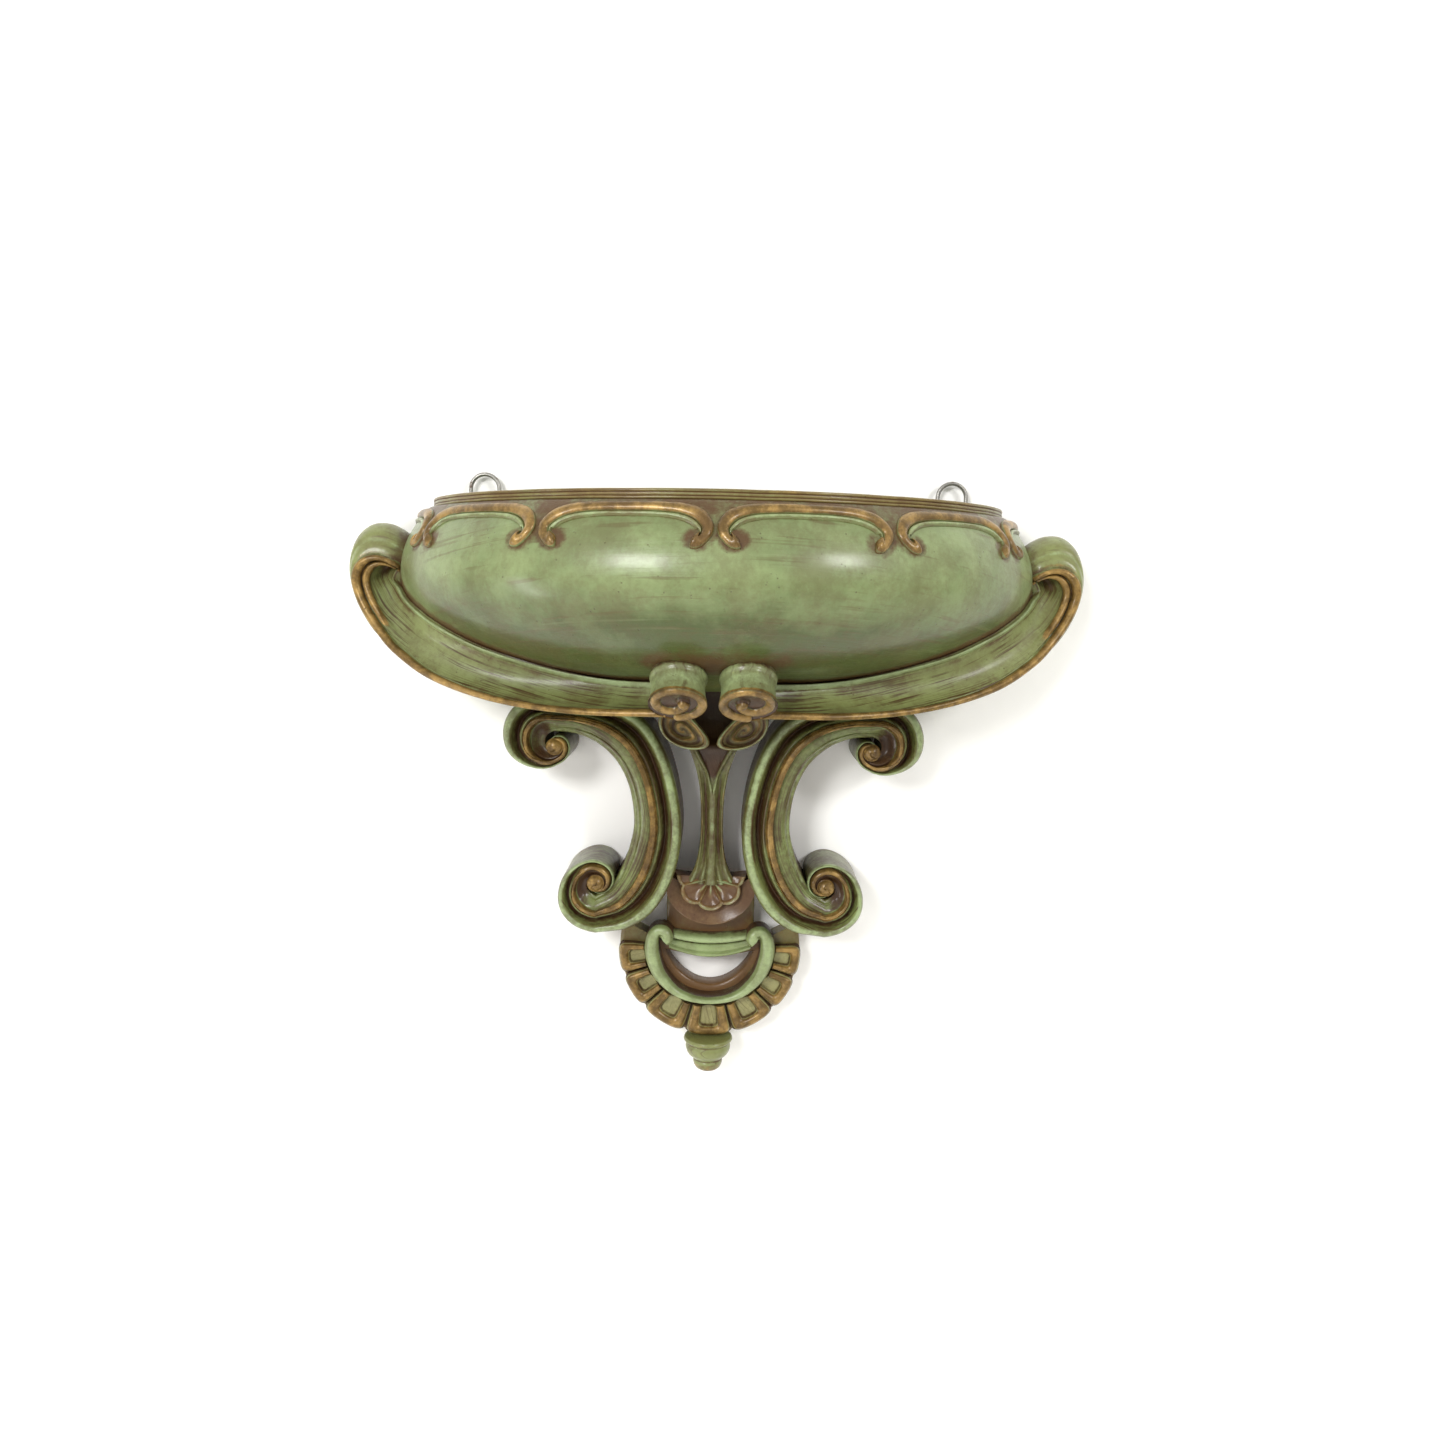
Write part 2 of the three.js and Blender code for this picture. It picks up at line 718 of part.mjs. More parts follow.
const bowlClearance = bowlBody(GAP);
const finishedEar = onThisSideOfWall(ear(0).subtract(bowlClearance));
const finishedVolute = volute(0).subtract(bowlClearance);
const halfGap = box(-200, GAP / 2, -200, 0, -160, -90);
const finishedSwag = onThisSideOfWall(
  swag().subtract(bowlClearance).subtract(ear(2 * GAP)).subtract(volute(GAP)).subtract(halfGap),
);
const underSwag = solid(geometryOf(finishedSwag).translate(0, 0, -GAP));
const finishedBracket = bracket().subtract(finishedSwag).subtract(underSwag).subtract(bowlClearance);
const bracketRoom = bracketClearance();
const bothBrackets = bracketRoom.add(solid(mirrored(geometryOf(bracketRoom))));
const finishedBud = bud().subtract(finishedSwag).subtract(underSwag).subtract(volute(GAP))
  .subtract(bracketRoom).subtract(halfGap);

add('bowl', bowl(), SAGE);
add('rim_moulding', rimMoulding(), OLIVE);
for (let i = 0; i < SCROLL_COUNT; i += 1) {
  add(`frieze_scroll_${i + 1}`, friezeScroll(i), GOLD);
}
addPair('swag', finishedSwag, SAGE);
addPair('ear', finishedEar, SAGE);
addPair('volute', finishedVolute, GOLD);
addPair('bracket', finishedBracket, OLIVE);
addPair('bud', finishedBud, GOLD);
add('centre_strut', strut(), OLIVE);
add('fan_leaf', fanLeaf().subtract(bothBrackets), UMBER);
add('base_plaque', basePlaque().subtract(bothBrackets), OLIVE);
add('slot_brow', slotBrow(), SAGE);
add('crescent_frame', crescentFrame(), SAGE);
for (let i = 0; i < TAB_COUNT; i += 1) {
  add(`plaque_tab_${i + 1}`, plaqueTab(i), GOLD);
}
add('finial', finial(), SAGE);
addPair('hanging_loop', hangingLoop(1), STEEL);

export default model;
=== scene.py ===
"""Half-round wall pocket on a pair of C-scroll brackets, in painted and antiqued plaster.

Shapes are worked out in millimetres, with the wall at y = 0, and put into meshes in metres.
"""
import math

import bpy
import numpy as np
from mathutils import Matrix, Vector


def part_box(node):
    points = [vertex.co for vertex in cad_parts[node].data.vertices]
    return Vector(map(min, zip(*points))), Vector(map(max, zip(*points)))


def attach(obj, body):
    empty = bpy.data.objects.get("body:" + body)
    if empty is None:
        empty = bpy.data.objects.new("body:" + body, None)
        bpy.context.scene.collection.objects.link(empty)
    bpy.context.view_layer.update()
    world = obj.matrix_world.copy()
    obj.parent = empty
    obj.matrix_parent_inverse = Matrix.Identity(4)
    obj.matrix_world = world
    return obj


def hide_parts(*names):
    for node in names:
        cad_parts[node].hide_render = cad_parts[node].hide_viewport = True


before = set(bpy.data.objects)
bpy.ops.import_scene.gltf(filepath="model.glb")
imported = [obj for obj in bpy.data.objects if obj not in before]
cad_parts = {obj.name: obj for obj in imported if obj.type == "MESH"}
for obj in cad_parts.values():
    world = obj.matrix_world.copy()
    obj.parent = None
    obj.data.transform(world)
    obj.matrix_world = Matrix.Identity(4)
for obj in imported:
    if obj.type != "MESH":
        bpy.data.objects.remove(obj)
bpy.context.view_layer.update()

MM = 0.001
SHARP_ANGLE = math.radians(62)


# ---- Places and sizes, from the frame ----------------------------------------------

def box_mm(node):
    """Lowest and highest corner of a frame node, in millimetres."""
    low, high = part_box(node)
    return np.array(low) / MM, np.array(high) / MM


BOWL_LOW, BOWL_HIGH = box_mm("bowl")
RIM_LOW = box_mm("rim_moulding")[0]
BELLY_SIDE = BOWL_HIGH[0]
BELLY_FRONT = -BOWL_LOW[1]
RIM_TOP = BOWL_HIGH[2]
BOWL_BOTTOM = BOWL_LOW[2]
BELLY_Z = RIM_TOP - 42
WALL_TOP = RIM_LOW[2] - 0.3
SIDE_RISE, FRONT_RISE, LOWER_DROP = 88.0, 80.0, 66.0
PLAN_POWER = 1.9
WALL, BACK_WALL, FLOOR_Z, INNER_DROP = 11.0, 12.0, -102.0, 54.0
SCROLLS = 6
SCROLL_TOP = -24.5
PLAQUE_LOW, PLAQUE_HIGH = box_mm("base_plaque")
PLAQUE_R = PLAQUE_HIGH[0]
PLAQUE_Z = PLAQUE_LOW[2] + PLAQUE_R
PLAQUE_FACE = PLAQUE_LOW[1]


# ---- Numpy helpers ------------------------------------------------------------------

def smooth(low, high, x):
    """0 below low, 1 above high, and a smooth S between them."""
    t = np.clip((np.asarray(x, float) - low) / (high - low), 0, 1)
    return t * t * (3 - 2 * t)


def ridge(v, centre, half):
    """A rounded ridge: a half circle's height over v, 1 at the centre, 0 past the half width."""
    return np.sqrt(np.clip(1 - ((v - centre) / half) ** 2, 0, 1))


def swell(v, centre, half):
    """A soft bell: a raised cosine over v, 1 at the centre, 0 past the half width."""
    return 0.5 + 0.5 * np.cos(np.pi * np.clip((v - centre) / half, -1, 1))


def spline(points, count):
    """Catmull-Rom curve through the points: each stretch blends four neighbours by cubic weights."""
    p = np.asarray(points, float)
    p = np.vstack([2 * p[0] - p[1], p, 2 * p[-1] - p[-2]])
    t = np.linspace(0, len(p) - 3, count)
    k = np.minimum(t.astype(int), len(p) - 4)
    f = (t - k)[:, None]
    a, b, c, d = p[k], p[k + 1], p[k + 2], p[k + 3]
    return b + 0.5 * f * (c - a + f * (2 * a - 5 * b + 4 * c - d + f * (3 * (b - c) + d - a)))


def unit(v):
    """Vectors of length one."""
    return v / np.maximum(np.linalg.norm(v, axis=-1, keepdims=True), 1e-9)


def full_turn(count):
    """Angles evenly round a circle, as one row."""
    return np.linspace(0, 2 * np.pi, count, endpoint=False)[None]


def rows(turn, *parts):
    """Rows put one after another, each spread over the same turn."""
    return np.concatenate([part + 0 * turn for part in parts])


def backed(front, y):
    """A front face followed by its own copy, laid flat at y and read backwards to close each ring."""
    back = front[:, ::-1].copy()
    back[..., 1] = y
    return np.concatenate([front, back], 1)


def spread(mask, shape):
    """A mask over a whole grid. Of two parts, the first covers the leading columns, which are
    the front face, and the second covers the rest."""
    if not isinstance(mask, tuple):
        return np.broadcast_to(mask, shape).reshape(-1)
    front, rest = mask
    whole = np.empty(shape)
    whole[:, :front.shape[1]] = front
    whole[:, front.shape[1]:] = rest
    return whole.reshape(-1)


def running(grid, axis):
    """Distance run along one direction of a grid, in metres."""
    step = np.linalg.norm(np.diff(grid, axis=axis), axis=-1) * MM
    start = np.zeros_like(np.take(step, [0], axis=axis))
    return np.cumsum(np.concatenate([start, step], axis=axis), axis=axis)


def skin(name, grid, material, replaces, masks=None, torus=False, mirror=False):
    """A closed skin over rows of closed rings. Neighbouring rings are joined by quads, and each
    end is closed by a fan about the ring's middle, or joined to the other end on a torus."""
    rings, around = grid.shape[:2]
    points = grid.reshape(-1, 3).copy()
    values = {key: spread(mask, grid.shape[:2]) for key, mask in (masks or {}).items()}
    stroke = np.stack([running(grid, 0), running(grid, 1), np.zeros(grid.shape[:2])], -1).reshape(-1, 3)
    rows = rings if torus else rings - 1
    r, k = np.meshgrid(np.arange(rows), np.arange(around), indexing="ij")
    a, b = r * around + k, r * around + (k + 1) % around
    up = ((r + 1) % rings - r) * around
    quads = np.stack([a, b, b + up, a + up], -1).reshape(-1, 4)
    tris = np.zeros((0, 3), int)
    if not torus:
        hubs = len(points) + np.arange(2)
        points = np.vstack([points, grid[0].mean(0), grid[-1].mean(0)])
        stroke = np.vstack([stroke, stroke[0], stroke[-1]])
        values = {key: np.concatenate([m, [m[0], m[-1]]]) for key, m in values.items()}
        i = np.arange(around)
        last = (rings - 1) * around
        first_cap = np.stack([np.full(around, hubs[0]), (i + 1) % around, i], -1)
        last_cap = np.stack([np.full(around, hubs[1]), last + i, last + (i + 1) % around], -1)
        tris = np.vstack([first_cap, last_cap])
    corners = points[np.vstack([quads[:, [0, 1, 2]], quads[:, [0, 2, 3]], tris])]
    volume = np.einsum("ij,ij->i", corners[:, 0], np.cross(corners[:, 1], corners[:, 2])).sum()
    if mirror:
        points[:, 0] *= -1
    if (volume < 0) != mirror:
        quads, tris = quads[:, ::-1], tris[:, ::-1]
    mesh = bpy.data.meshes.new(name)
    loops = np.concatenate([quads.reshape(-1), tris.reshape(-1)])
    starts = np.concatenate([np.arange(len(quads)) * 4, len(quads) * 4 + np.arange(len(tris)) * 3])
    mesh.vertices.add(len(points))
    mesh.vertices.foreach_set("co", (points * MM).astype(np.float32).ravel())
    mesh.loops.add(len(loops))
    mesh.loops.foreach_set("vertex_index", loops.astype(np.int32))
    mesh.polygons.add(len(starts))
    mesh.polygons.foreach_set("loop_start", starts.astype(np.int32))
    mesh.update(calc_edges=True)
    mesh.shade_smooth()
    mesh.set_sharp_from_angle(angle=SHARP_ANGLE)
    mesh.attributes.new("stroke", "FLOAT_VECTOR", "POINT").data.foreach_set(
        "vector", stroke.astype(np.float32).ravel())
    for key in ("gold", "umber", "pale", "deep"):
        layer = values.get(key, np.zeros(len(points)))
        mesh.attributes.new(key, "FLOAT", "POINT").data.foreach_set(
            "value", np.clip(layer, 0, 1).astype(np.float32))
    piece = bpy.data.objects.new(name, mesh)
    bpy.context.scene.collection.objects.link(piece)
    mesh.materials.append(material)
    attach(piece, "root")
    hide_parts(replaces)
    return piece


def pair(name, grid, material, masks, node=None):
    """The same skin on the right and, mirrored, on the left."""
    for hand, mirror in (("right", False), ("left", True)):
        skin(f"{name}_{hand}", grid, material, f"{node or name}_{hand}", masks, mirror=mirror)


# ---- Shader groups --------------------------------------------------------------------

def srgb(red, green, blue, alpha=1.0):
    """A colour given in 0 to 255 screen values, as linear light."""
    c = np.array([red, green, blue]) / 255
    linear = np.where(c <= 0.04045, c / 12.92, ((c + 0.055) / 1.055) ** 2.4)
    return (*linear.tolist(), alpha)


class Net:
    """Small helper that adds nodes to a tree, and sets or wires their sockets by name."""

    def __init__(self, tree):
        self.tree = tree

    def feed(self, node, inputs):
        for key, value in inputs.items():
            socket = node.inputs[key]
            if isinstance(value, bpy.types.NodeSocket):
                self.tree.links.new(value, socket)
            else:
                socket.default_value = value
        return node

    def add(self, kind, inputs=None, **settings):
        node = self.tree.nodes.new(kind)
        for key, value in settings.items():
            setattr(node, key, value)
        return self.feed(node, inputs or {})

    def math(self, operation, *values, clamp=False):
        node = self.add("ShaderNodeMath", dict(enumerate(values)), operation=operation,
                        use_clamp=clamp)
        return node.outputs[0]

    def times(self, first, second, clamp=False):
        return self.math("MULTIPLY", first, second, clamp=clamp)

    def plus(self, first, second, clamp=False):
        return self.math("ADD", first, second, clamp=clamp)

    def minus(self, first, second):
        return self.math("SUBTRACT", first, second)

    def mix(self, factor, first, second):
        return self.add("ShaderNodeMix", {0: factor, 6: first, 7: second}, data_type="RGBA").outputs[2]

    def noise(self, vector, scale, detail=4.0, rough=0.6):
        return self.add("ShaderNodeTexNoise", {"Vector": vector, "Scale": scale, "Detail": detail,
                                               "Roughness": rough}).outputs["Fac"]

    def steps(self, value, low, high):
        return self.add("ShaderNodeMapRange", {"Value": value, "From Min": low, "From Max": high},
                        interpolation_type="SMOOTHSTEP").outputs["Result"]

    def attribute(self, name, output="Fac"):
        return self.add("ShaderNodeAttribute", attribute_name=name).outputs[output]

    def place(self):
        return self.add("ShaderNodeTexCoord").outputs["Object"]

    def group(self, tree, inputs):
        return self.add("ShaderNodeGroup", inputs, node_tree=tree).outputs


def group(name, sockets_in, sockets_out):
    """An empty shader group with named sockets, and its input and output nodes."""
    tree = bpy.data.node_groups.new(name, "ShaderNodeTree")
    for label, kind, value in sockets_in:
        socket = tree.interface.new_socket(label, in_out="INPUT", socket_type=kind)
        if value is not None:
            socket.default_value = value
    for label, kind in sockets_out:
        tree.interface.new_socket(label, in_out="OUTPUT", socket_type=kind)
    net = Net(tree)
    return tree, net, net.add("NodeGroupInput").outputs, net.add("NodeGroupOutput")


def new_material(name):
    """A material, the helper for its nodes, and its shader."""
    material = bpy.data.materials.new(name)
    material.use_nodes = True
    return material, Net(material.node_tree), material.node_tree.nodes["Principled BSDF"]


FLOAT, COLOUR, VECTOR = "NodeSocketFloat", "NodeSocketColor", "NodeSocketVector"
PAINT_IN, COLOR_OUT = ("Paint", COLOUR, None), ("Color", COLOUR)


def antique_glaze_group():
    """Dark glaze that stays in hollows: the recess mask is broken up by two sizes of noise."""
    tree, net, into, out = group("Antique glaze", [
        PAINT_IN, ("Glaze", COLOUR, None), ("Recess", FLOAT, 0.0), ("Film", FLOAT, 0.15),
        ("Scale", FLOAT, 60.0)], [COLOR_OUT, ("Mask", FLOAT)])
    place = net.place()
    broad = net.noise(place, into["Scale"], 5.0, 0.65)
    fine = net.noise(place, net.times(into["Scale"], 7.0), 4.0, 0.7)
    patch = net.plus(net.times(broad, 0.65), net.times(fine, 0.35))
    break_up = 2.4
    pull = net.times(net.minus(patch, 0.5), break_up)
    held = net.steps(net.plus(into["Recess"], pull), 0.12, 0.98)
    held = net.times(held, net.steps(into["Recess"], 0.0, 0.35))
    film = net.times(net.steps(patch, 0.4, 0.62), into["Film"])
    mask = net.math("MAXIMUM", held, film, clamp=True)
    net.feed(out, {"Color": net.mix(mask, into["Paint"], into["Glaze"]), "Mask": mask})
    return tree


def brush_group():
    """Brush strokes: noise stretched along the stroke attribute, cut to thin lines."""
    tree, net, into, out = group("Brush strokes", [
        PAINT_IN, ("Stroke Color", COLOUR, None), ("Place", VECTOR, None),
        ("Along", FLOAT, 18.0), ("Across", FLOAT, 700.0), ("Amount", FLOAT, 0.5),
        ("Cover", FLOAT, 0.5)], [COLOR_OUT, ("Height", FLOAT)])
    parts = net.add("ShaderNodeSeparateXYZ", {"Vector": into["Place"]}).outputs
    stretched = net.add("ShaderNodeCombineXYZ", {
        "X": net.times(parts["X"], into["Along"]), "Y": net.times(parts["Y"], into["Across"]),
        "Z": net.times(parts["Z"], into["Across"])}).outputs[0]
    lines = net.noise(stretched, 1.0, 3.0, 0.6)
    patches = net.noise(net.place(), 42.0, 3.0, 0.5)
    worn = net.plus(lines, net.times(net.minus(patches, 0.5), 0.5))
    edge = net.minus(0.78, net.times(into["Cover"], 0.4))
    mask = net.times(net.steps(net.minus(worn, edge), -0.05, 0.09), into["Amount"], clamp=True)
    net.feed(out, {"Color": net.mix(mask, into["Paint"], into["Stroke Color"]), "Height": lines})
    return tree


def crest_paint_and_highlight_group():
    """Paint laid on raised work, and painted highlight where a pale mask stands for one: a crest mask with
    a ragged, hand-painted edge.
    """
    tree, net, into, out = group("Crest paint and highlight", [
        PAINT_IN, ("Crest Color", COLOUR, None), ("Crest", FLOAT, 0.0), ("Ragged", FLOAT, 0.5),
        ("Scale", FLOAT, 180.0)], [COLOR_OUT, ("Mask", FLOAT)])
    grain = net.noise(net.place(), into["Scale"], 5.0, 0.7)
    pull = net.times(net.minus(grain, 0.5), into["Ragged"])
    mask = net.steps(net.plus(into["Crest"], pull), 0.3, 0.7)
    net.feed(out, {"Color": net.mix(mask, into["Paint"], into["Crest Color"]), "Mask": mask})
    return tree


def speck_group():
    """Fly specks and pinholes: the darkest spots of a fine noise, with matching small pits."""
    tree, net, into, out = group("Specks", [
        PAINT_IN, ("Speck Color", COLOUR, None), ("Scale", FLOAT, 420.0),
        ("Amount", FLOAT, 0.5)], [COLOR_OUT, ("Height", FLOAT)])
    place = net.place()
    cells = net.add("ShaderNodeTexVoronoi", {"Vector": place, "Scale": into["Scale"]})
    chosen = net.noise(place, net.times(into["Scale"], 0.35), 2.0, 0.5)
    spot = net.minus(1.0, net.steps(cells.outputs["Distance"], 0.08, 0.26))
    spot = net.times(spot, net.steps(chosen, 0.58, 0.66))
    mask = net.times(spot, into["Amount"], clamp=True)
    net.feed(out, {"Color": net.mix(mask, into["Paint"], into["Speck Color"]),
                   "Height": net.times(spot, -1.0)})
    return tree


GLAZE, BRUSH = antique_glaze_group(), brush_group()
CREST_PAINT_AND_HIGHLIGHT, SPECKS = crest_paint_and_highlight_group(), speck_group()

SAGE = srgb(120, 134, 92)
SAGE_PALE = srgb(144, 160, 112)
SAGE_DEEP = srgb(88, 98, 56)
OLIVE = srgb(96, 96, 52)
GOLD = srgb(164, 132, 72)
GOLD_DEEP = srgb(98, 76, 34)
UMBER = srgb(62, 38, 14)
UMBER_RED = srgb(92, 62, 34)
GOLD_SHEEN = 0.45
COAT_ROUGHNESS = 0.2
SPECULAR = 0.32


def paint(name, ground=SAGE, ground_two=SAGE_DEEP, streak=UMBER, streak_amount=0.5, cover=0.4,
          along=14.0, across=620.0, film=0.3, ragged=0.5, glaze=UMBER, roughness=0.42,
          glaze_scale=55.0, varnish=0.4):
    """Antiqued plaster paint: two greens, brush strokes, gold and pale crests, then the glaze."""
    material, net, shader = new_material(name)
    place = net.place()
    strokes = net.attribute("stroke", "Vector")
    cloud = net.steps(net.noise(place, 22.0, 6.0, 0.65), 0.36, 0.66)
    # The deeper green follows random clouds and the deep mask, which on the bowl is partly painted shade.
    depth = net.plus(net.times(cloud, 0.45), net.attribute("deep"), clamp=True)
    brushed = net.group(BRUSH, {
        "Paint": net.mix(depth, ground, ground_two), "Stroke Color": streak, "Place": strokes,
        "Along": along, "Across": across, "Amount": streak_amount, "Cover": cover})
    light_strokes = net.group(BRUSH, {
        "Paint": brushed["Color"], "Stroke Color": SAGE_PALE, "Place": strokes,
        "Along": along * 0.7, "Across": across * 0.7, "Amount": streak_amount * 0.35, "Cover": 0.3})
    # Pale crests: light green paint, and on the volute drums and ear hoods also painted highlight.
    pale = net.group(CREST_PAINT_AND_HIGHLIGHT, {
        "Paint": light_strokes["Color"], "Crest Color": SAGE_PALE,
        "Crest": net.attribute("pale"), "Ragged": ragged, "Scale": 150.0})
    gold_tone = net.mix(net.steps(net.noise(place, 90.0, 6.0, 0.7), 0.34, 0.62), GOLD, GOLD_DEEP)
    gilded = net.group(CREST_PAINT_AND_HIGHLIGHT, {
        "Paint": pale["Color"], "Crest Color": gold_tone, "Crest": net.attribute("gold"),
        "Ragged": ragged, "Scale": 210.0})
    glazed = net.group(GLAZE, {
        "Paint": gilded["Color"], "Glaze": glaze, "Recess": net.attribute("umber"),
        "Film": film, "Scale": glaze_scale})
    speckled = net.group(SPECKS, {"Paint": glazed["Color"], "Speck Color": UMBER, "Amount": 0.55})
    grain = net.noise(place, 900.0, 3.0, 0.6)
    rough = net.plus(roughness, net.times(glazed["Mask"], 0.16))
    rough = net.plus(rough, net.times(net.minus(grain, 0.5), 0.16), clamp=True)
    lumps = net.noise(place, 85.0, 4.0, 0.55)
    height = net.plus(net.times(lumps, 0.5), net.times(grain, 0.12))
    height = net.plus(height, net.times(brushed["Height"], 0.35))
    height = net.plus(height, net.times(speckled["Height"], 0.3))
    bump = net.add("ShaderNodeBump", {"Height": height, "Distance": 0.001, "Strength": 0.7})
    net.feed(shader, {
        "Base Color": speckled["Color"], "Roughness": rough, "Normal": bump.outputs["Normal"],
        "Metallic": net.times(gilded["Mask"], GOLD_SHEEN), "Coat Weight": varnish,
        "Coat Roughness": COAT_ROUGHNESS, "Specular IOR Level": SPECULAR})
    return material


def steel(name):
    """Dull grey wire: fine drawn lines, with a few brown rust spots."""
    material, net, shader = new_material(name)
    place = net.place()
    rust = net.steps(net.noise(place, 260.0, 5.0, 0.7), 0.56, 0.68)
    lines = net.noise(place, 1400.0, 2.0, 0.5)
    bump = net.add("ShaderNodeBump", {"Height": lines, "Distance": 0.0002, "Strength": 0.4})
    net.feed(shader, {
        "Base Color": net.mix(rust, srgb(150, 148, 142), srgb(96, 74, 56)),
        "Metallic": net.minus(0.85, net.times(rust, 0.6)),
        "Roughness": net.plus(0.36, net.times(rust, 0.3)), "Normal": bump.outputs["Normal"]})
    return material


# ---- The bowl's face --------------------------------------------------------------------

def girth(z):
    """Half width and depth of the bowl at height z: quarter ellipses above and below the belly."""
    above = np.maximum(z - BELLY_Z, 0)
    below = np.clip(BELLY_Z - z, 0, LOWER_DROP - 1)
    lower = np.sqrt(1 - (below / LOWER_DROP) ** 2)
    return (BELLY_SIDE * lower * np.sqrt(1 - (above / SIDE_RISE) ** 2),
            BELLY_FRONT * lower * np.sqrt(1 - (above / FRONT_RISE) ** 2))


def round_plan(angle, side, front, back=0.0):
    """A point of a superellipse plan: powers of cosine and sine of the angle, in degrees."""
    c, s = np.cos(np.radians(angle)), np.sin(np.radians(angle))
    power = 2 / PLAN_POWER
    return side * np.sign(c) * np.abs(c) ** power, -back - (front - back) * np.abs(s) ** power


def on_bowl(angle, z):
    """The bowl's outer face at an angle round it (0 right, 180 left) and a height."""
    side, front = girth(z)
    x, y = round_plan(angle, side, front)
    return np.stack(np.broadcast_arrays(x, y, z), -1)


def bowl_normal(angle, z):
    """Outward normal of the bowl's face: the cross product of two small steps on it."""
    step = 0.4
    step_round = on_bowl(angle - step, z) - on_bowl(angle + step, z)
    step_up = on_bowl(angle, z + step) - on_bowl(angle, z - step)
    return unit(np.cross(step_round, step_up))


SCROLL_HALF = [(0, 0, 2.9), (0.33, 0.1, 3.0), (0.62, 0.9, 3.3), (0.83, 3.6, 3.5),
               (0.94, 8.6, 3.0), (0.93, 12.8, 2.7), (0.85, 15.8, 2.9), (0.77, 14.6, 3.1)]
SCROLL_TO_WALL = [(0, 0, 2.9), (0.35, 0.1, 2.9), (0.66, 0.8, 2.5), (0.9, 2.0, 2.0)]
SWAG_INNER = [(15.5, -65), (18, -70), (22, -76), (27, -84), (34, -95.5), (46, -106.5), (59, -110.5),
              (76, -110)]
SWAG_OUTER = [(176.5, -36, -52.5), (181, -38.5, -49.5), (187.5, -39, -47.2), (194.5, -39, -47.6),
              (200.5, -39, -51.5), (203.8, -38.5, -58.5), (203, -38, -67), (198, -39.5, -78),
              (189, -43, -90), (176, -50, -102), (152.5, -62, -115), (116, -76, -124.8),
              (73, -91, -128.5), (24, -102, -127.8)]


def scroll_path(index, count):
    """Angle, height and half width along one C-scroll of the frieze."""
    pitch, joint = 180 / SCROLLS, 0.6
    right = SCROLL_TO_WALL if index == 0 else SCROLL_HALF
    left = SCROLL_TO_WALL if index == SCROLLS - 1 else SCROLL_HALF
    half = [(-r, d, w) for r, d, w in left[:0:-1]] + right
    run, drop, wide = spline(half, count).T
    return pitch * (index + 0.5) - run * (pitch / 2 - joint), SCROLL_TOP - drop, wide


def nearest(points, line):
    """Distance from each point to the nearest of a line's points."""
    best, batch = np.full(len(points), 1e9), 40
    for start in range(0, len(line), batch):
        gaps = points[:, None, :] - line[None, start:start + batch, :]
        best = np.minimum(best, np.sqrt((gaps ** 2).sum(-1)).min(1))
    return best


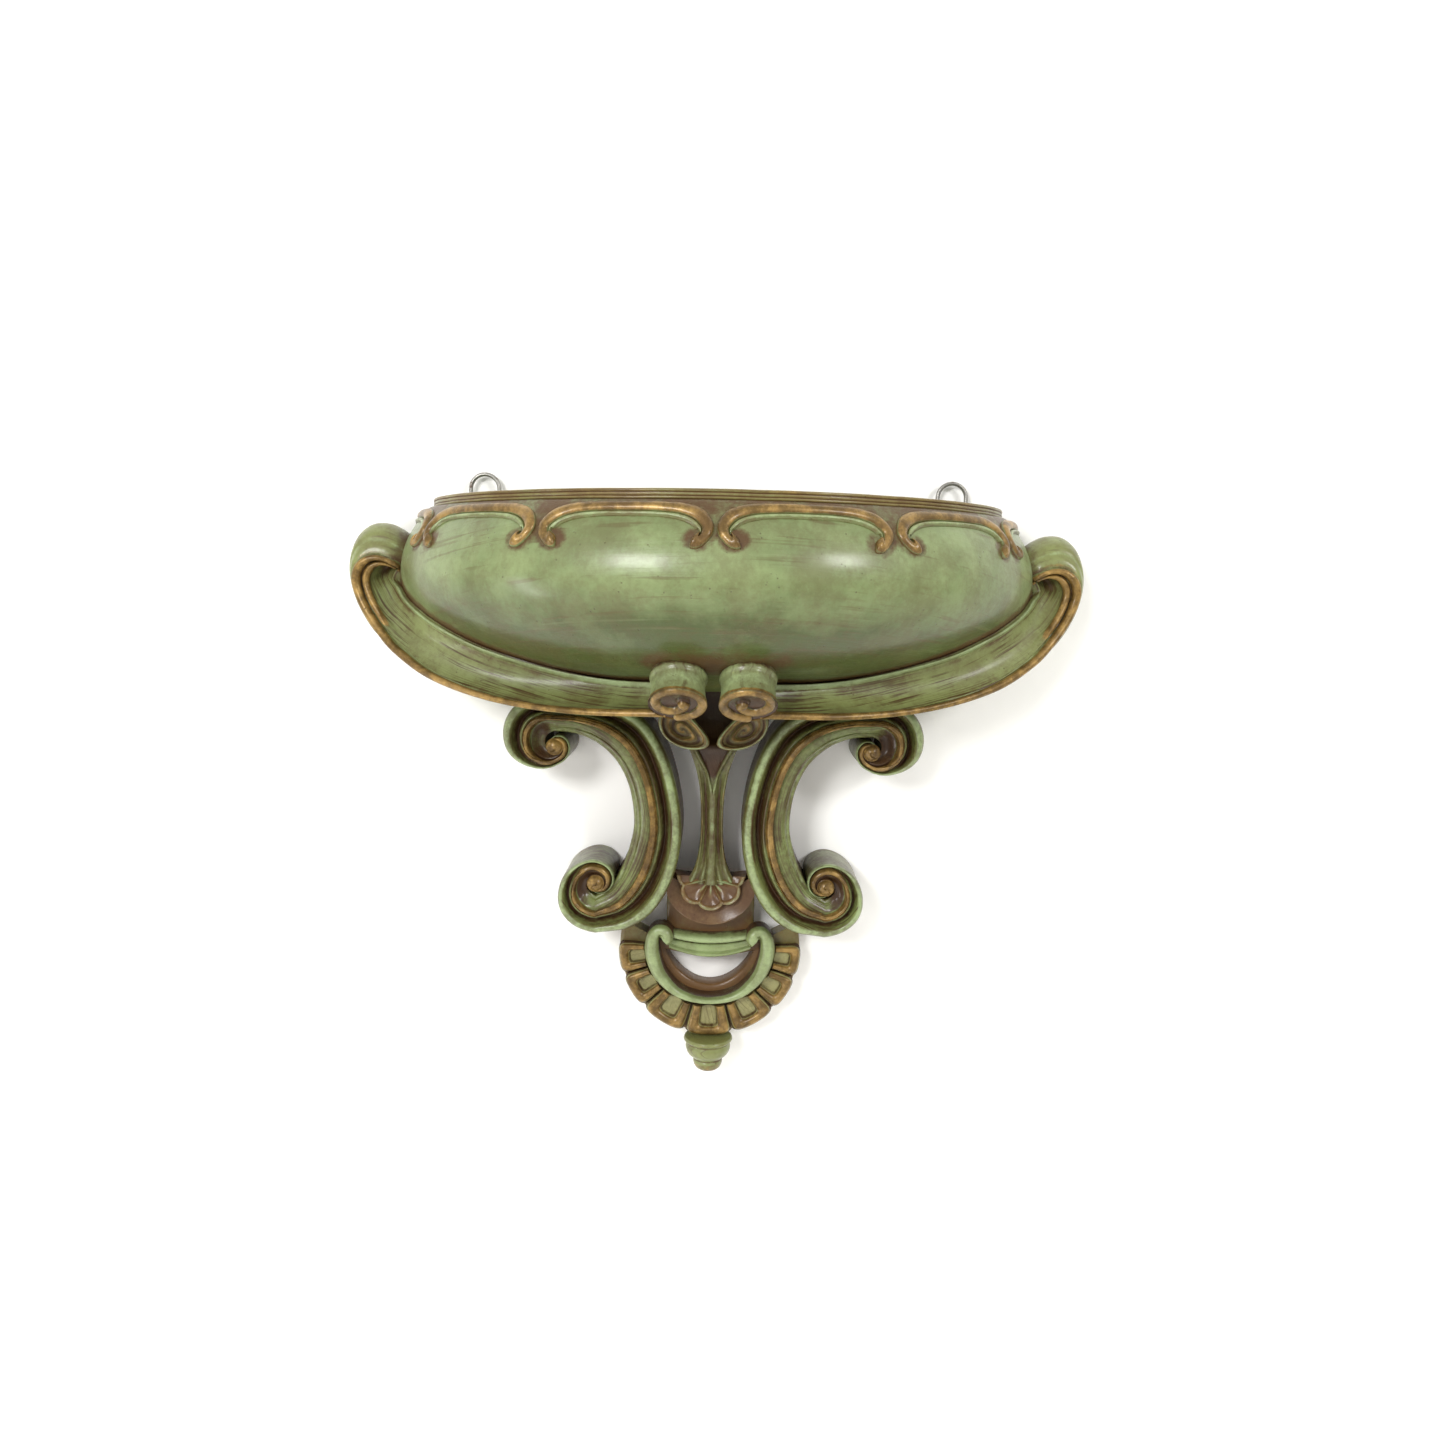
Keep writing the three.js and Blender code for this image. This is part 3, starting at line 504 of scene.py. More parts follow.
def bowl(material):
    """Half-round shell: rings of a superellipse front and a straight back, carried up the outer
    profile, over the lip, down the inside and across the floor. The brown mask is high above and
    between the scrolls, beside the swag, round the volutes and behind the ears."""
    front_angles = np.linspace(0, 180, 241)
    back_run = np.linspace(-1, 1, 42)[1:-1]
    outside = BOWL_BOTTOM + (WALL_TOP - BOWL_BOTTOM) * np.linspace(0, 1, 84) ** 1.15
    inside = WALL_TOP + (FLOOR_Z - WALL_TOP) * np.linspace(0, 1, 30) ** 0.9
    rings = []

    def ring(side, front, back, z_front, z_back):
        x, y = round_plan(front_angles, side, front, back)
        curved = np.stack([x, y, np.full_like(x, z_front)], -1)
        flat = np.stack([back_run * side, np.full_like(back_run, -back),
                         np.full_like(back_run, z_back)], -1)
        return np.vstack([curved, flat])

    base_side, base_front = girth(np.float64(BOWL_BOTTOM))
    for share in (0.3, 0.85, 0.97):
        rings.append(ring(base_side * share, base_front * share, 0, BOWL_BOTTOM, BOWL_BOTTOM))
    for z in outside:
        side, front = girth(z)
        rings.append(ring(side, front, 0, z, z))
    side, front = girth(WALL_TOP)
    for inset in (0.05, 0.5, 1.0):
        rings.append(ring(side - WALL * inset, front - WALL * inset, BACK_WALL * (inset - 0.05),
                          WALL_TOP, RIM_TOP))
    for z in inside[1:]:
        side, front = girth(max(z, BELLY_Z))
        drop = math.sqrt(1 - (max(BELLY_Z - z, 0) / INNER_DROP) ** 2)
        rings.append(ring((side - WALL) * drop, (front - WALL) * drop, BACK_WALL, z, z))
    for share in (0.9, 0.4):
        last = rings[-1]
        middle = last.mean(0)
        rings.append(middle + (last - middle) * share)
    grid = np.array(rings)
    flat = grid.reshape(-1, 3)
    foot_rings = 3
    outer = np.zeros(len(rings), bool)
    outer[:foot_rings + len(outside)] = True
    outer = np.repeat(outer, grid.shape[1])
    front_face = np.where(outer & (flat[:, 1] < -0.5))[0]
    face = flat[front_face]
    umber = np.zeros(len(flat))
    pale = np.zeros(len(flat))
    side, front = girth(face[:, 2])
    half_power = PLAN_POWER / 2
    around = np.degrees(np.arctan2((-face[:, 1] / front) ** half_power,
                                   np.sign(face[:, 0]) * np.abs(face[:, 0] / side) ** half_power))
    pitch = 180 / SCROLLS
    share = np.abs((around / pitch) % 1 - 0.5) * 2
    drop = SCROLL_TOP - face[:, 2]
    spandrel = smooth(-3.5, 3.0, 16 * share ** 9 - drop)
    mask = 0.85 * np.maximum(spandrel, smooth(-2.5, 3.0, -drop))
    frieze_depth = 28
    near_frieze = face[:, 2] > SCROLL_TOP - frieze_depth
    scrolls = np.concatenate([on_bowl(*scroll_path(i, 60)[:2]) for i in range(SCROLLS)])
    gap = np.full(len(face), 99.0)
    gap[near_frieze] = nearest(face[near_frieze], scrolls)
    mask = np.maximum(mask, 0.8 * (1 - smooth(3.0, 8.5, gap)))
    line = spline(on_bowl(*np.array(SWAG_INNER, float).T), 160)
    line = np.vstack([line, line * [-1, 1, 1]])
    gap = nearest(face, line)
    below = smooth(0, 2, -72 - face[:, 2])
    mask = np.maximum(mask, np.maximum(1 - smooth(3.0, 14.0, gap),
                                       0.36 * (1 - smooth(3.0, 26.0, gap)) * (0.5 + 0.5 * below)))
    drum_line = np.linspace([-24, -112, -100], [24, -112, -100], 13)
    mask = np.maximum(mask, 0.8 * (1 - smooth(6, 25, nearest(face, drum_line))))
    # Darker in a band below the belly and towards the bottom: partly the paint's own darker lower tone,
    # partly painted shade on the undercurve, which faces down.
    mask = np.maximum(mask, 0.2 * swell(face[:, 2], -72, 14) + 0.16 * smooth(-84, -104, face[:, 2]))
    ears = np.array([[177, -12, -36], [180, -26, -44], [-177, -12, -36], [-180, -26, -44],
                     [180, -30, -54], [-180, -30, -54]])
    mask = np.maximum(mask, 0.85 * (1 - smooth(6, 15, nearest(face, ears))))
    umber[front_face] = mask
    edge = np.abs(face[:, 0]) / BELLY_SIDE
    # Paler towards both sides of the belly, where it turns away from the view: painted highlight along the
    # edges.
    pale[front_face] = 0.55 * smooth(0.84, 0.97, edge) * smooth(-92, -68, face[:, 2])
    # Deeper green towards the bottom: partly the paint's own darker olive, partly painted shade on the
    # undercurve.
    deep = np.zeros(len(flat))
    deep[front_face] = 0.85 * smooth(-50, -92, face[:, 2])
    masks = {"umber": umber, "pale": pale, "deep": deep}
    masks = {key: mask.reshape(grid.shape[:2]) for key, mask in masks.items()}
    skin("bowl_shell", grid, material, "bowl", masks)


def rim(material):
    """Moulded band: a section with three soft ribs, carried round the mouth's superellipse, with
    a slow ripple up and down."""
    low, top = RIM_LOW[2], RIM_TOP
    side, front = girth((low + top) / 2)
    t = np.linspace(0, 1, 40)
    rise = low + (top - low) * t
    ribs = 0.9 * ridge(t, 0.16, 0.2) + 0.8 * ridge(t, 0.5, 0.19) + 0.9 * ridge(t, 0.84, 0.2)
    inset, thick = 0.7, WALL - 1.6
    out = -inset + ribs * 1.1
    inner = np.linspace(0, 1, 12)
    section_out = np.concatenate([out, -inset - thick * inner, -WALL + 0.6 + 0 * inner,
                                  -WALL + 0.6 + thick * inner[:-1]])
    section_z = np.concatenate([rise, top + 0 * inner, top - (top - low) * inner,
                                low + 0 * inner[:-1]])
    angles = np.linspace(0.02, 179.98, 260)
    o, a = np.meshgrid(section_out, angles)
    wobble = 0.18 * np.sin(np.radians(a) * 23) * np.sin(np.radians(a) * 7 + 1)
    x, y = round_plan(a, side + o, front + o)
    grid = np.stack([x, np.minimum(y, -0.02), np.broadcast_to(section_z, x.shape) + wobble * 0.5], -1)
    grid[..., 2] = np.minimum(grid[..., 2], top)
    v = np.concatenate([t, np.full(len(section_out) - len(t), 2.0)])
    grooves = np.maximum(ridge(v, 0.33, 0.07), np.maximum(ridge(v, 0.67, 0.07), ridge(v, 0.0, 0.08)))
    gold = 0.5 * ridge(v, 0.84, 0.2) * (0.5 + 0.5 * np.sin(np.radians(a) * 9 + 2))
    masks = {"umber": 0.9 * grooves + 0.25 * (v < 2), "gold": gold,
             "pale": 0.45 * ridge(v, 0.5, 0.15) * (0.5 + 0.5 * np.sin(np.radians(a) * 5))}
    skin("rim_band", grid, material, "rim_moulding", masks)


def frieze_scroll(index, material):
    """C-scroll: a gold half-round bead with a thin green bead inside it, carried along an arch
    on the bowl's face and ending in small balls."""
    count = 150
    angle, z, wide = scroll_path(index, count)
    here = on_bowl(angle, z)
    lift = bowl_normal(angle, z)
    along = unit(np.gradient(here, axis=0))
    across = unit(np.cross(along, lift))
    across *= np.sign(-across[count // 2, 2])
    end = np.minimum(np.arange(count), np.arange(count)[::-1]) / count
    tail_right, tail_left = index != 0, index != SCROLLS - 1
    first = np.linspace(0, 1, count) < 0.5
    tail = np.where(first, tail_left, tail_right)
    ball = 1 + tail * (0.55 * swell(end, 0.035, 0.05)) - tail * 0.12 * swell(end, 0.11, 0.05)
    close = np.sqrt(np.clip(end / 0.028, 0.02, 1))
    half = wide * ball * close
    thin = smooth(0.1, 0.2, end)
    v = np.linspace(-1, 1.9, 40)
    dome = ridge(v, 0, 1.0)
    small = ridge(v, 1.42, 0.36)
    height = (dome[None] * (2.5 * np.sqrt(ball) * close)[:, None] + small[None] * (1.3 * thin)[:, None])
    sideways = np.where(v[None] > 1, (1 + (v[None] - 1) * np.maximum(thin, 0.05)[:, None]), v[None])
    top = (here[:, None] + across[:, None] * (sideways * half[:, None])[..., None]
           + lift[:, None] * (height + 0.15)[..., None])
    back_v = np.linspace(1, 0, 8)
    base = top[:, -1:] * back_v[None, :, None] + top[:, :1] * (1 - back_v)[None, :, None]
    base = base - lift[:, None] * 1.2
    grid = np.concatenate([top, base], 1)
    foot = np.maximum(swell(v, 1.03, 0.12), 1 - smooth(-1, -0.86, v))
    masks = {"gold": (0.85 * smooth(0.1, 0.7, dome)[None], 0), "pale": (0.6 * small[None], 0),
             "umber": (0.8 * foot[None], 0.8)}
    skin(f"frieze_c_scroll_{index + 1}", grid, material,
         f"frieze_scroll_{index + 1}", masks)


def swag(material):
    """Hollow ribbon: straight rules between an edge on the bowl and a free outer edge, which at
    the top fans over like a lip. Beads and a channel are raised by distance from the edges, and
    an underside runs back to the wall."""
    count = 300
    hub = [(175.5, -33, -55.5), (176.5, -33, -56.5), (177.5, -33, -57.5), (178, -33, -58.5),
           (178.5, -33, -59.5), (178.6, -33.5, -61.5)]
    on_face = on_bowl(*np.array(SWAG_INNER, float).T) * [0.995, 0.995, 1]
    upper = spline(np.vstack([hub, on_face]), count)
    lower = spline(SWAG_OUTER, count)
    u = np.linspace(0, 1, count)[:, None]
    down = lower - upper
    width = np.linalg.norm(down, axis=1, keepdims=True)
    out = unit(np.cross(unit(np.gradient(lower, axis=0)), unit(down)))
    out *= -np.sign(out[:, 1:2])
    v = 1 - np.linspace(1, 0, 96)[None] ** 1.25
    edge, inner = (1 - v) * width, v * width
    twin = 1 - smooth(0.5, 0.68, u)
    lip = 1 - smooth(0.3, 0.48, u)
    bead = ridge(edge, 2.5, 2.6)
    second = twin * ridge(edge, 7.8, 2.2)
    start = 5.6 + 4.4 * twin
    channel = np.sin(np.pi * np.clip((inner - 3.6) / np.maximum(width - start - 3.6, 1), 0, 1))
    height = (2.5 * bead + 2.0 * second - 0.9 * ridge(edge, 5.4, 0.8)
              + 1.6 * (1 - lip) * ridge(inner, 3.6, 1.5) - 1.5 * (1 - lip) * ridge(inner, 0.4, 0.8)
              - (3.8 + 4.5 * lip) * channel ** 0.8 * np.minimum(1, width / 16))
    front = upper[:, None] + down[:, None] * v[..., None] + out[:, None] * height[..., None]
    rim_line = front[:, -1]
    share = np.linspace(0, 1, 14)[1:]
    wall_low = np.stack([lower[:, 0] * 0.94 - 3, np.full(count, -0.3), lower[:, 2] + 6.5], -1)
    wall_high = np.stack([upper[:, 0] * 0.9 - 3, np.full(count, -0.3), upper[:, 2] + 5], -1)
    under = rim_line[:, None] + (wall_low - rim_line)[:, None] * share[None, :, None]
    back = wall_low[:, None] + (wall_high - wall_low)[:, None] * np.array([0.5, 1.0])[None, :, None]
    grid = np.concatenate([front, under, back], 1)
    gold = np.maximum(smooth(0.05, 0.5, bead), smooth(0.05, 0.5, second))
    umber = np.maximum((1 - lip) * (1 - smooth(0.9, 2.6, inner)), 0.8 * swell(edge, 5.3, 0.9) * twin)
    umber = umber + 0.42 * swell(edge, 7.5, 4.5) * (1 - twin) + 0.75 * lip * channel ** 2
    umber = np.maximum(umber, 0.5 * (1 - lip) * swell(inner, 7.0, 3.5))
    pale = 0.75 * (1 - lip) * ridge(inner, 3.8, 1.6)
    pair("swag_ribbon", grid, material,
         {"gold": (0.9 * gold, 0), "umber": (umber, 0.4), "pale": (pale, 0)}, "swag")


def ear(material):
    """Rolled-over end: from the ribbon's lip each section swells out as a quarter ellipse to the
    crown, then runs straight back to the wall, and returns behind the lip."""
    count = 120
    lip = spline(SWAG_OUTER[:10], count) + [0, 1.2, 0]
    crown = spline([(173, -22, -37), (180, -20, -32), (187.5, -20, -28.9), (196.5, -20, -29.6),
                    (204, -20, -36), (207.8, -20, -47), (207.8, -20, -60), (203.6, -21, -74),
                    (194, -25, -88.5), (177.5, -36, -101.5)], count)
    centre = np.array([186, 0, -62.0])
    t = np.linspace(0, 1, 34)[None, :, None]
    turn = t * np.pi / 2
    swollen = lip[:, None] + (crown - lip)[:, None] * np.sin(turn)
    swollen[..., 1] = (lip[:, None, 1:2] + (crown - lip)[:, None, 1:2] * (1 - np.cos(turn)))[..., 0]
    crease = 0.9 * np.exp(-((t - 0.3) / 0.09) ** 2) * np.array([0, 1.0, 0])
    swollen = swollen + crease * smooth(0, 0.2, np.linspace(0, 1, count))[:, None, None]
    back = np.linspace(0, 1, 12)[None, 1:, None]
    inward = (centre - crown) * [1, 0, 1]
    wall = crown[:, None] + inward[:, None] * 0.1 * smooth(0, 1, back)
    wall[..., 1] = (crown[:, None, 1:2] * (1 - back) - 0.4 * back)[..., 0]
    rear = (crown + inward * 0.6) * [1, 0, 1] - [0, 0.4, 0]
    behind = lip + (centre - lip) * [0.35, 0, 0.35] + [0, 9, 0]
    grid = np.concatenate([swollen, wall, rear[:, None], behind[:, None]], 1)
    place = np.concatenate([t[0, :, 0], 1 + back[0, :, 0], [3.0, 3.0]])[None] + 0 * grid[..., 0]
    near_bowl = 1 - smooth(0.03, 0.2, np.linspace(0, 1, count))[:, None]
    umber = 0.5 * swell(place, 0.02, 0.12) + 0.3 * smooth(1.2, 1.9, place) + 0.6 * near_bowl
    # The pale line along the crease near the lip is painted highlight on that soft ridge.
    pale = 0.5 * swell(place, 0.3, 0.1) + 0.35 * swell(place, 0.65, 0.25)
    gold = 0.5 * swell(place, 0.06, 0.08)
    pair("ear_hood", grid, material, {"gold": gold, "umber": umber, "pale": pale}, "ear")


def volute(material):
    """Rolled end: a drum turned about a tilted axis. On its dished face a ridge follows a spiral
    from the drum's edge to a boss, its height a half round of the distance to that path."""
    tilt, turns = math.radians(53), 1.28
    axis = np.array([0, -math.cos(tilt), -math.sin(tilt)])
    upward = np.array([0, -math.sin(tilt), math.cos(tilt)])
    sideways = np.array([1.0, 0, 0])
    length, radius = 19.0, 15.0
    base = np.array([17.6, -101.4, -104.4])
    turn = full_turn(160)
    wall_run = np.linspace(-0.45, 1, 44)[:, None]
    waist = radius * (0.93 - 0.1 * smooth(0.1, -0.4, wall_run) + 0.05 * ridge(wall_run, 0.2, 0.1)
                      - 0.02 * swell(wall_run, 0.5, 0.3) + 0.06 * smooth(0.72, 1.0, wall_run))
    share = np.linspace(1, 0.01, 70)[:, None]
    way = np.linspace(0, 1, 140)
    path_angle = -np.pi / 2 - 2 * np.pi * turns * way
    path_r = spline(np.array([0.86, 0.84, 0.82, 0.8, 0.66, 0.4, 0.17])[:, None], 140)[:, 0]
    path = np.stack([path_r * np.cos(path_angle), path_r * np.sin(path_angle)], -1)
    spot = np.stack([share * np.cos(turn), share * np.sin(turn)], -1).reshape(-1, 2)
    gap = nearest(spot, path).reshape(share.shape[0], -1)
    boss = np.hypot(spot[:, 0] - path[-1, 0], spot[:, 1] - path[-1, 1]).reshape(gap.shape)
    coil = ridge(gap, 0, 0.17)
    relief = 2.4 * coil + 2.2 * ridge(boss, 0, 0.25) - 1.4 * (1 - share ** 2)
    radial = rows(turn, waist, radius * 0.99 * share)
    run = rows(turn, length * wall_run, length + relief - 0.6)
    grid = (base + radial[..., None] * (np.cos(turn)[..., None] * sideways
                                        + np.sin(turn)[..., None] * upward)
            + run[..., None] * axis)
    gold = rows(turn, 0.9 * smooth(0.84, 0.95, wall_run),
                np.maximum(smooth(0.1, 0.5, coil), 1 - smooth(0.15, 0.3, boss)))
    umber = rows(turn, 0.6 * (1 - smooth(0.12, 0.3, wall_run)) + 0.3 * swell(wall_run, 0.34, 0.1),
                 1 - smooth(0.1, 0.45, coil))
    # Pale on the upper side of the drum wall is painted highlight, where light from above falls on the
    # roll.
    pale = rows(turn, 0.75 * swell(wall_run, 0.55, 0.3) * smooth(0.1, 0.9, np.sin(turn)), 0 * coil)
    pair("volute_roll", grid, material, {"gold": gold, "umber": umber, "pale": pale},
         "volute")


TOP_EYE, LOW_EYE = (90.3, -153.2), (66.6, -232.6)
CURL_REACH = 405
FIELD_INSET, BOSS_INSET, BOSS_EDGE = 7.6, 6.4, 5.2
BOSS_RADIUS, BOSS_NECK = 5.0, 4.0


def curl_turns(eye, radii_out, radii_in, start, sense, count):
    """Outer and inner edge of a curl, as polar turns about its eye: both radii are splines of
    the angle."""
    angle = start + sense * np.radians(CURL_REACH) * np.linspace(0, 1, count)
    ray = np.stack([np.sin(angle), np.cos(angle)], -1)
    return [np.array(eye) + ray * spline(np.array(radii)[:, None], count)
            for radii in (radii_out, radii_in)]


def bracket(material):
    """C-scroll bracket: rules between its two edges carry a moulding of a broad torus, a gold
    bead, a deep groove and an outer bead, back to flat sides on the wall. In the curls the torus
    sinks to a hollow, and the gold bead winds in to a boss."""
    depth = -box_mm("bracket_right")[0][1]
    count, arm_count = 150, 200
    top_out, top_in = curl_turns(TOP_EYE, [27.6, 32.4, 28.6, 18, 11.6, 9.6, 8.8, 7.8, 6, 4.0],
                                 [8.6, 7.6, 5.6, 3.8, 2.6, 1.8, 1.3, 0.9, 0.6, 0.4], 0.0, 1, count)
    low_out, low_in = curl_turns(LOW_EYE, [30.2, 27.2, 20.4, 15.4, 13.4, 12.2, 10.4, 8.2, 6, 4.0],
                                 [8.2, 7.0, 5.2, 3.6, 2.5, 1.8, 1.3, 0.9, 0.6, 0.4], np.pi, -1, count)
    arm_out = spline([(90.3, -125.6), (76, -125.2), (56, -127.8), (37.5, -138.5), (24.6, -162),
                      (17.6, -196), (20.4, -224), (31, -246.5), (46.5, -259), (66.6, -262.8)],
                     arm_count)
    arm_in = spline([(90.3, -144.6), (78.5, -145.8), (65.5, -151.4), (54.4, -162.2), (47.4, -177.5),
                     (44.8, -196), (47, -210), (51.4, -223), (57.6, -234), (66.6, -240.8)],
                    arm_count)
    outer = np.vstack([top_out[:0:-1], arm_out, low_out[1:]])
    inner = np.vstack([top_in[:0:-1], arm_in, low_in[1:]])
    place = np.arange(len(outer))
    curl = np.maximum(count - 1 - place, place - (len(outer) - count)) / (count - 1)
    curl = np.clip(curl, 0, 1)[:, None]
    v = np.linspace(0, 1, 84)[None]
    width = np.linalg.norm(outer - inner, axis=1, keepdims=True)
    slim = np.clip(width / 25, 0.3, 1)
    wound = smooth(0.2, 0.42, curl)
    hollow = smooth(-0.06, 0.12, curl)
    bead_at = 0.43 + 0.2 * wound
    groove_at = 0.66 + 0.15 * wound
    outer_at = 0.875 + 0.055 * wound
    torus = (2.2 * ridge(v, 0.07, 0.075) + 4.9 * ridge(v, 0.25, 0.17)) * (1 - hollow)
    relief = (torus - 3.2 * hollow * swell(v, 0.12, 0.3)
              + (5.6 + 0.8 * wound) * ridge(v, bead_at, 0.085 + 0.11 * wound)
              + 2.4 * (1 - wound) * ridge(v, 0.54, 0.055)
              - 4.2 * (1 - 0.6 * wound) * swell(v, groove_at, 0.10)
              + 5.0 * ridge(v, outer_at, 0.125 - 0.055 * wound))
    plan = inner[:, None] * (1 - v[..., None]) + outer[:, None] * v[..., None]
    boss = np.minimum(*[np.hypot(plan[..., 0] - x, plan[..., 1] - z) for x, z in (TOP_EYE, LOW_EYE)])
    moulded = -(depth - FIELD_INSET) - relief * slim - 1.6 * np.sin(np.pi * v) - 1.0 * hollow
    raised = np.minimum(moulded, -(depth - BOSS_INSET) - 5.4 * ridge(boss, 0, BOSS_EDGE))
    face = np.maximum(np.where(boss < BOSS_EDGE, raised, moulded), -depth)
    front = np.stack([plan[..., 0], face, plan[..., 1]], -1)
    back = np.linspace(0, 1, 14)[1:]

    def side(edge, start):
        y = start[:, None] * (1 - back[None]) - 0.05 * back[None]
        return np.stack([edge[:, None, 0] + 0 * y, y, edge[:, None, 1] + 0 * y], -1)

    grid = np.concatenate([front, side(outer, front[:, -1, 1]), side(inner, front[:, 0, 1])[:, ::-1]], 1)
    to_wall = np.concatenate([back, back[::-1]])[None]
    gold = np.maximum(smooth(0.0, 0.5, ridge(v, bead_at, 0.09 + 0.12 * wound)), 1 - smooth(4.2, 5.6, boss))
    gold = np.maximum(gold, 0.42 * (1 - hollow) * ridge(v, 0.3, 0.12))
    umber = np.maximum((1 - 0.3 * wound) * swell(v, groove_at, 0.15),
                       0.95 * hollow * (1 - smooth(-0.02, 0.03, v - bead_at + 0.11)) * (boss > 4.6))
    umber = np.maximum(umber, 0.5 * (1 - hollow) * swell(v, 0.135, 0.05))
    umber = np.maximum(umber, 0.4 * (1 - wound) * swell(v, 0.5, 0.03))
    pale = np.maximum(0.7 * ridge(v, outer_at + 0.01, 0.09), 0.55 * (1 - hollow) * ridge(v, 0.06, 0.06))
    # The side faces are painted darker than the front, and darker still towards the wall.
    masks = {"gold": (0.78 * gold, 0), "pale": (pale, 0),
             "umber": (umber, 0.3 + 0.5 * (1 - hollow) + 0.25 * to_wall),
             "deep": (0.3 * (1 - hollow) * (1 - ridge(v, 0.2, 0.2)), 0.4)}
    pair("c_bracket", grid, material, masks, "bracket")
    for name, eye in (("upper_curl_boss", TOP_EYE), ("lower_curl_boss", LOW_EYE)):
        curl_boss(name, eye, BOSS_RADIUS, depth - BOSS_NECK, material)


def curl_boss(name, eye, radius, depth, material):
    """Button in a curl's eye: rings of a squashed half ball over a short neck, with one turn of
    a spiral groove cut into it."""
    turn = full_turn(60)
    lean = np.linspace(0.03, np.pi / 2, 26)[:, None]
    neck = np.linspace(0, 1, 6)[1:, None]
    r = radius * rows(turn, np.sin(lean), 1 - 0.1 * neck)
    groove = 0.5 + 0.5 * np.cos(turn + 3.2 * lean)
    y_dome = -depth - 0.4 * radius * np.cos(lean) + 0.9 * groove * np.sin(2 * lean)
    y = rows(turn, y_dome, -depth + 9 * neck)
    grid = np.stack([eye[0] + r * np.cos(turn), y, eye[1] + r * np.sin(turn)], -1)
    umber = rows(turn, 0.7 * smooth(0.6, 1, groove) * np.sin(lean), neck)
    gold = rows(turn, 1 + 0 * lean, 0.5 + 0 * neck)
    pair(name, grid, material, {"gold": gold, "umber": umber}, "bracket")


def bud(material):
    """Rolled husk: egg-shaped rings about a leaning middle. A rim stands round a dish that holds
    a low swirl, and the rings shrink back to a root against the strut."""
    lean, swirls = math.radians(36), 2.4
    long_half, short_half = 16.4, 9.0
    middle = np.array([17.0, 0, -141.0])
    along = np.array([-math.cos(lean), 0, -math.sin(lean)])
    across = np.array([-math.sin(lean), 0, math.cos(lean)])
    turn = full_turn(110)
    share = np.linspace(0.02, 1, 50)[:, None]
    swirl = np.cos(2 * np.pi * swirls * share + turn)
    dish = 2.6 * np.clip(1 - (share / 0.82) ** 2, 0, 1) - 1.9 * ridge(share, 0.89, 0.11)
    y_front = -52.6 + dish - 0.7 * swirl * swell(share, 0.45, 0.4)
    root = np.linspace(0, 1, 12)[1:, None]
    size = np.concatenate([share, 1.0 - 0.38 * root ** 1.4])
    long_way = long_half * size * np.cos(turn)
    short_way = (short_half * size * np.sin(turn) * (1 - 0.22 * np.cos(turn))
                 + 2.2 * size ** 2 * np.cos(turn) ** 2)
    grid = middle + long_way[..., None] * along + short_way[..., None] * across
    grid[..., 1] = rows(turn, y_front, -51.6 + 25 * root)
    gold = rows(turn, 0.75 * smooth(0.2, 0.9, swirl) * (share < 0.8) + 0.5 * ridge(share, 0.86, 0.05),
                0.3 + 0 * root)
    pale = rows(turn, 0.6 * ridge(share, 0.92, 0.06), 0 * root)
    umber = rows(turn, 0.85 * smooth(0.1, 0.8, -swirl) * (share < 0.84) + 0.8 * swell(share, 0.8, 0.05),
                 0.7 + 0 * root)
    pair("leaf_bud", grid, material, {"gold": gold, "umber": umber, "pale": pale}, "bud")


STRUT = [(-119.5, 19, 25), (-136, 17, 25.5), (-147, 15.4, 30), (-152, 14.6, 36), (-158, 12.2, 35.5),
         (-170, 8.7, 33), (-184, 6.9, 31), (-200, 6.4, 29.5), (-214, 7.3, 28.6), (-226, 10.2, 28),
         (-235.5, 15.5, 28)]


def strut(material):
    """Waisted post: sections between splined widths. Its ridge parts into a forked head round a
    sunk panel, with flutes beside it, and spreads into small ribs at the foot."""
    count = 170
    z, half, depth = spline(STRUT, count).T[..., None]
    v = np.linspace(-1, 1, 75)[None]
    fork = smooth(-182, -156, z)
    foot = smooth(-212, -234, z)
    single = (1 - fork) * ridge(v, 0, 0.4 - 0.15 * foot)
    part = 0.12 + 0.66 * smooth(-182, -150, z)
    arms = smooth(-184, -174, z) * ridge(np.abs(v), part, 0.13)
    flutes = (1 - fork) * (1 - foot) * swell(np.abs(v), 0.55, 0.26)
    edges = (1 - fork) * ridge(np.abs(v), 0.9, 0.11)
    panel = smooth(-178, -168, z) * (1 - smooth(part - 0.16, part - 0.04, np.abs(v)))
    ribs = foot * (0.5 + 0.5 * np.cos(v * 2 * np.pi * 2.5)) * (np.abs(v) > 0.2)
    relief = (3.2 * single + 2.2 * arms - 1.6 * flutes + 1.6 * edges * (1 - foot) - 1.4 * panel
              + 1.3 * ribs)
    face = -(depth - 3.2) - relief * np.clip(half / 9, 0.5, 1)
    front = np.stack([v * half, face, z + 0 * v], -1)
    share = np.linspace(0, 1, 10)[1:]
    side_y = front[:, -1:, 1] * (1 - share) - 0.05 * share
    right = np.stack([half * (1 - 0.2 * share), side_y, z + 0 * side_y], -1)
    left = (right * [-1, 1, 1])[:, ::-1]
    grid = np.concatenate([front, right, left], 1)
    umber = np.maximum(0.8 * panel + 0.45 * fork * (1 - arms), 0.95 * flutes)
    umber = np.maximum(umber, 0.75 * foot * (1 - ribs) * (1 - single))
    pale = 0.4 * single + 0.25 * arms + 0.1 * edges + 0.5 * ribs * (ribs > 0.6)
    skin("strut_post", grid, material, "centre_strut",
         {"umber": (umber, 0.85), "pale": (pale, 0), "gold": (0.4 * edges, 0), "deep": 0.5})


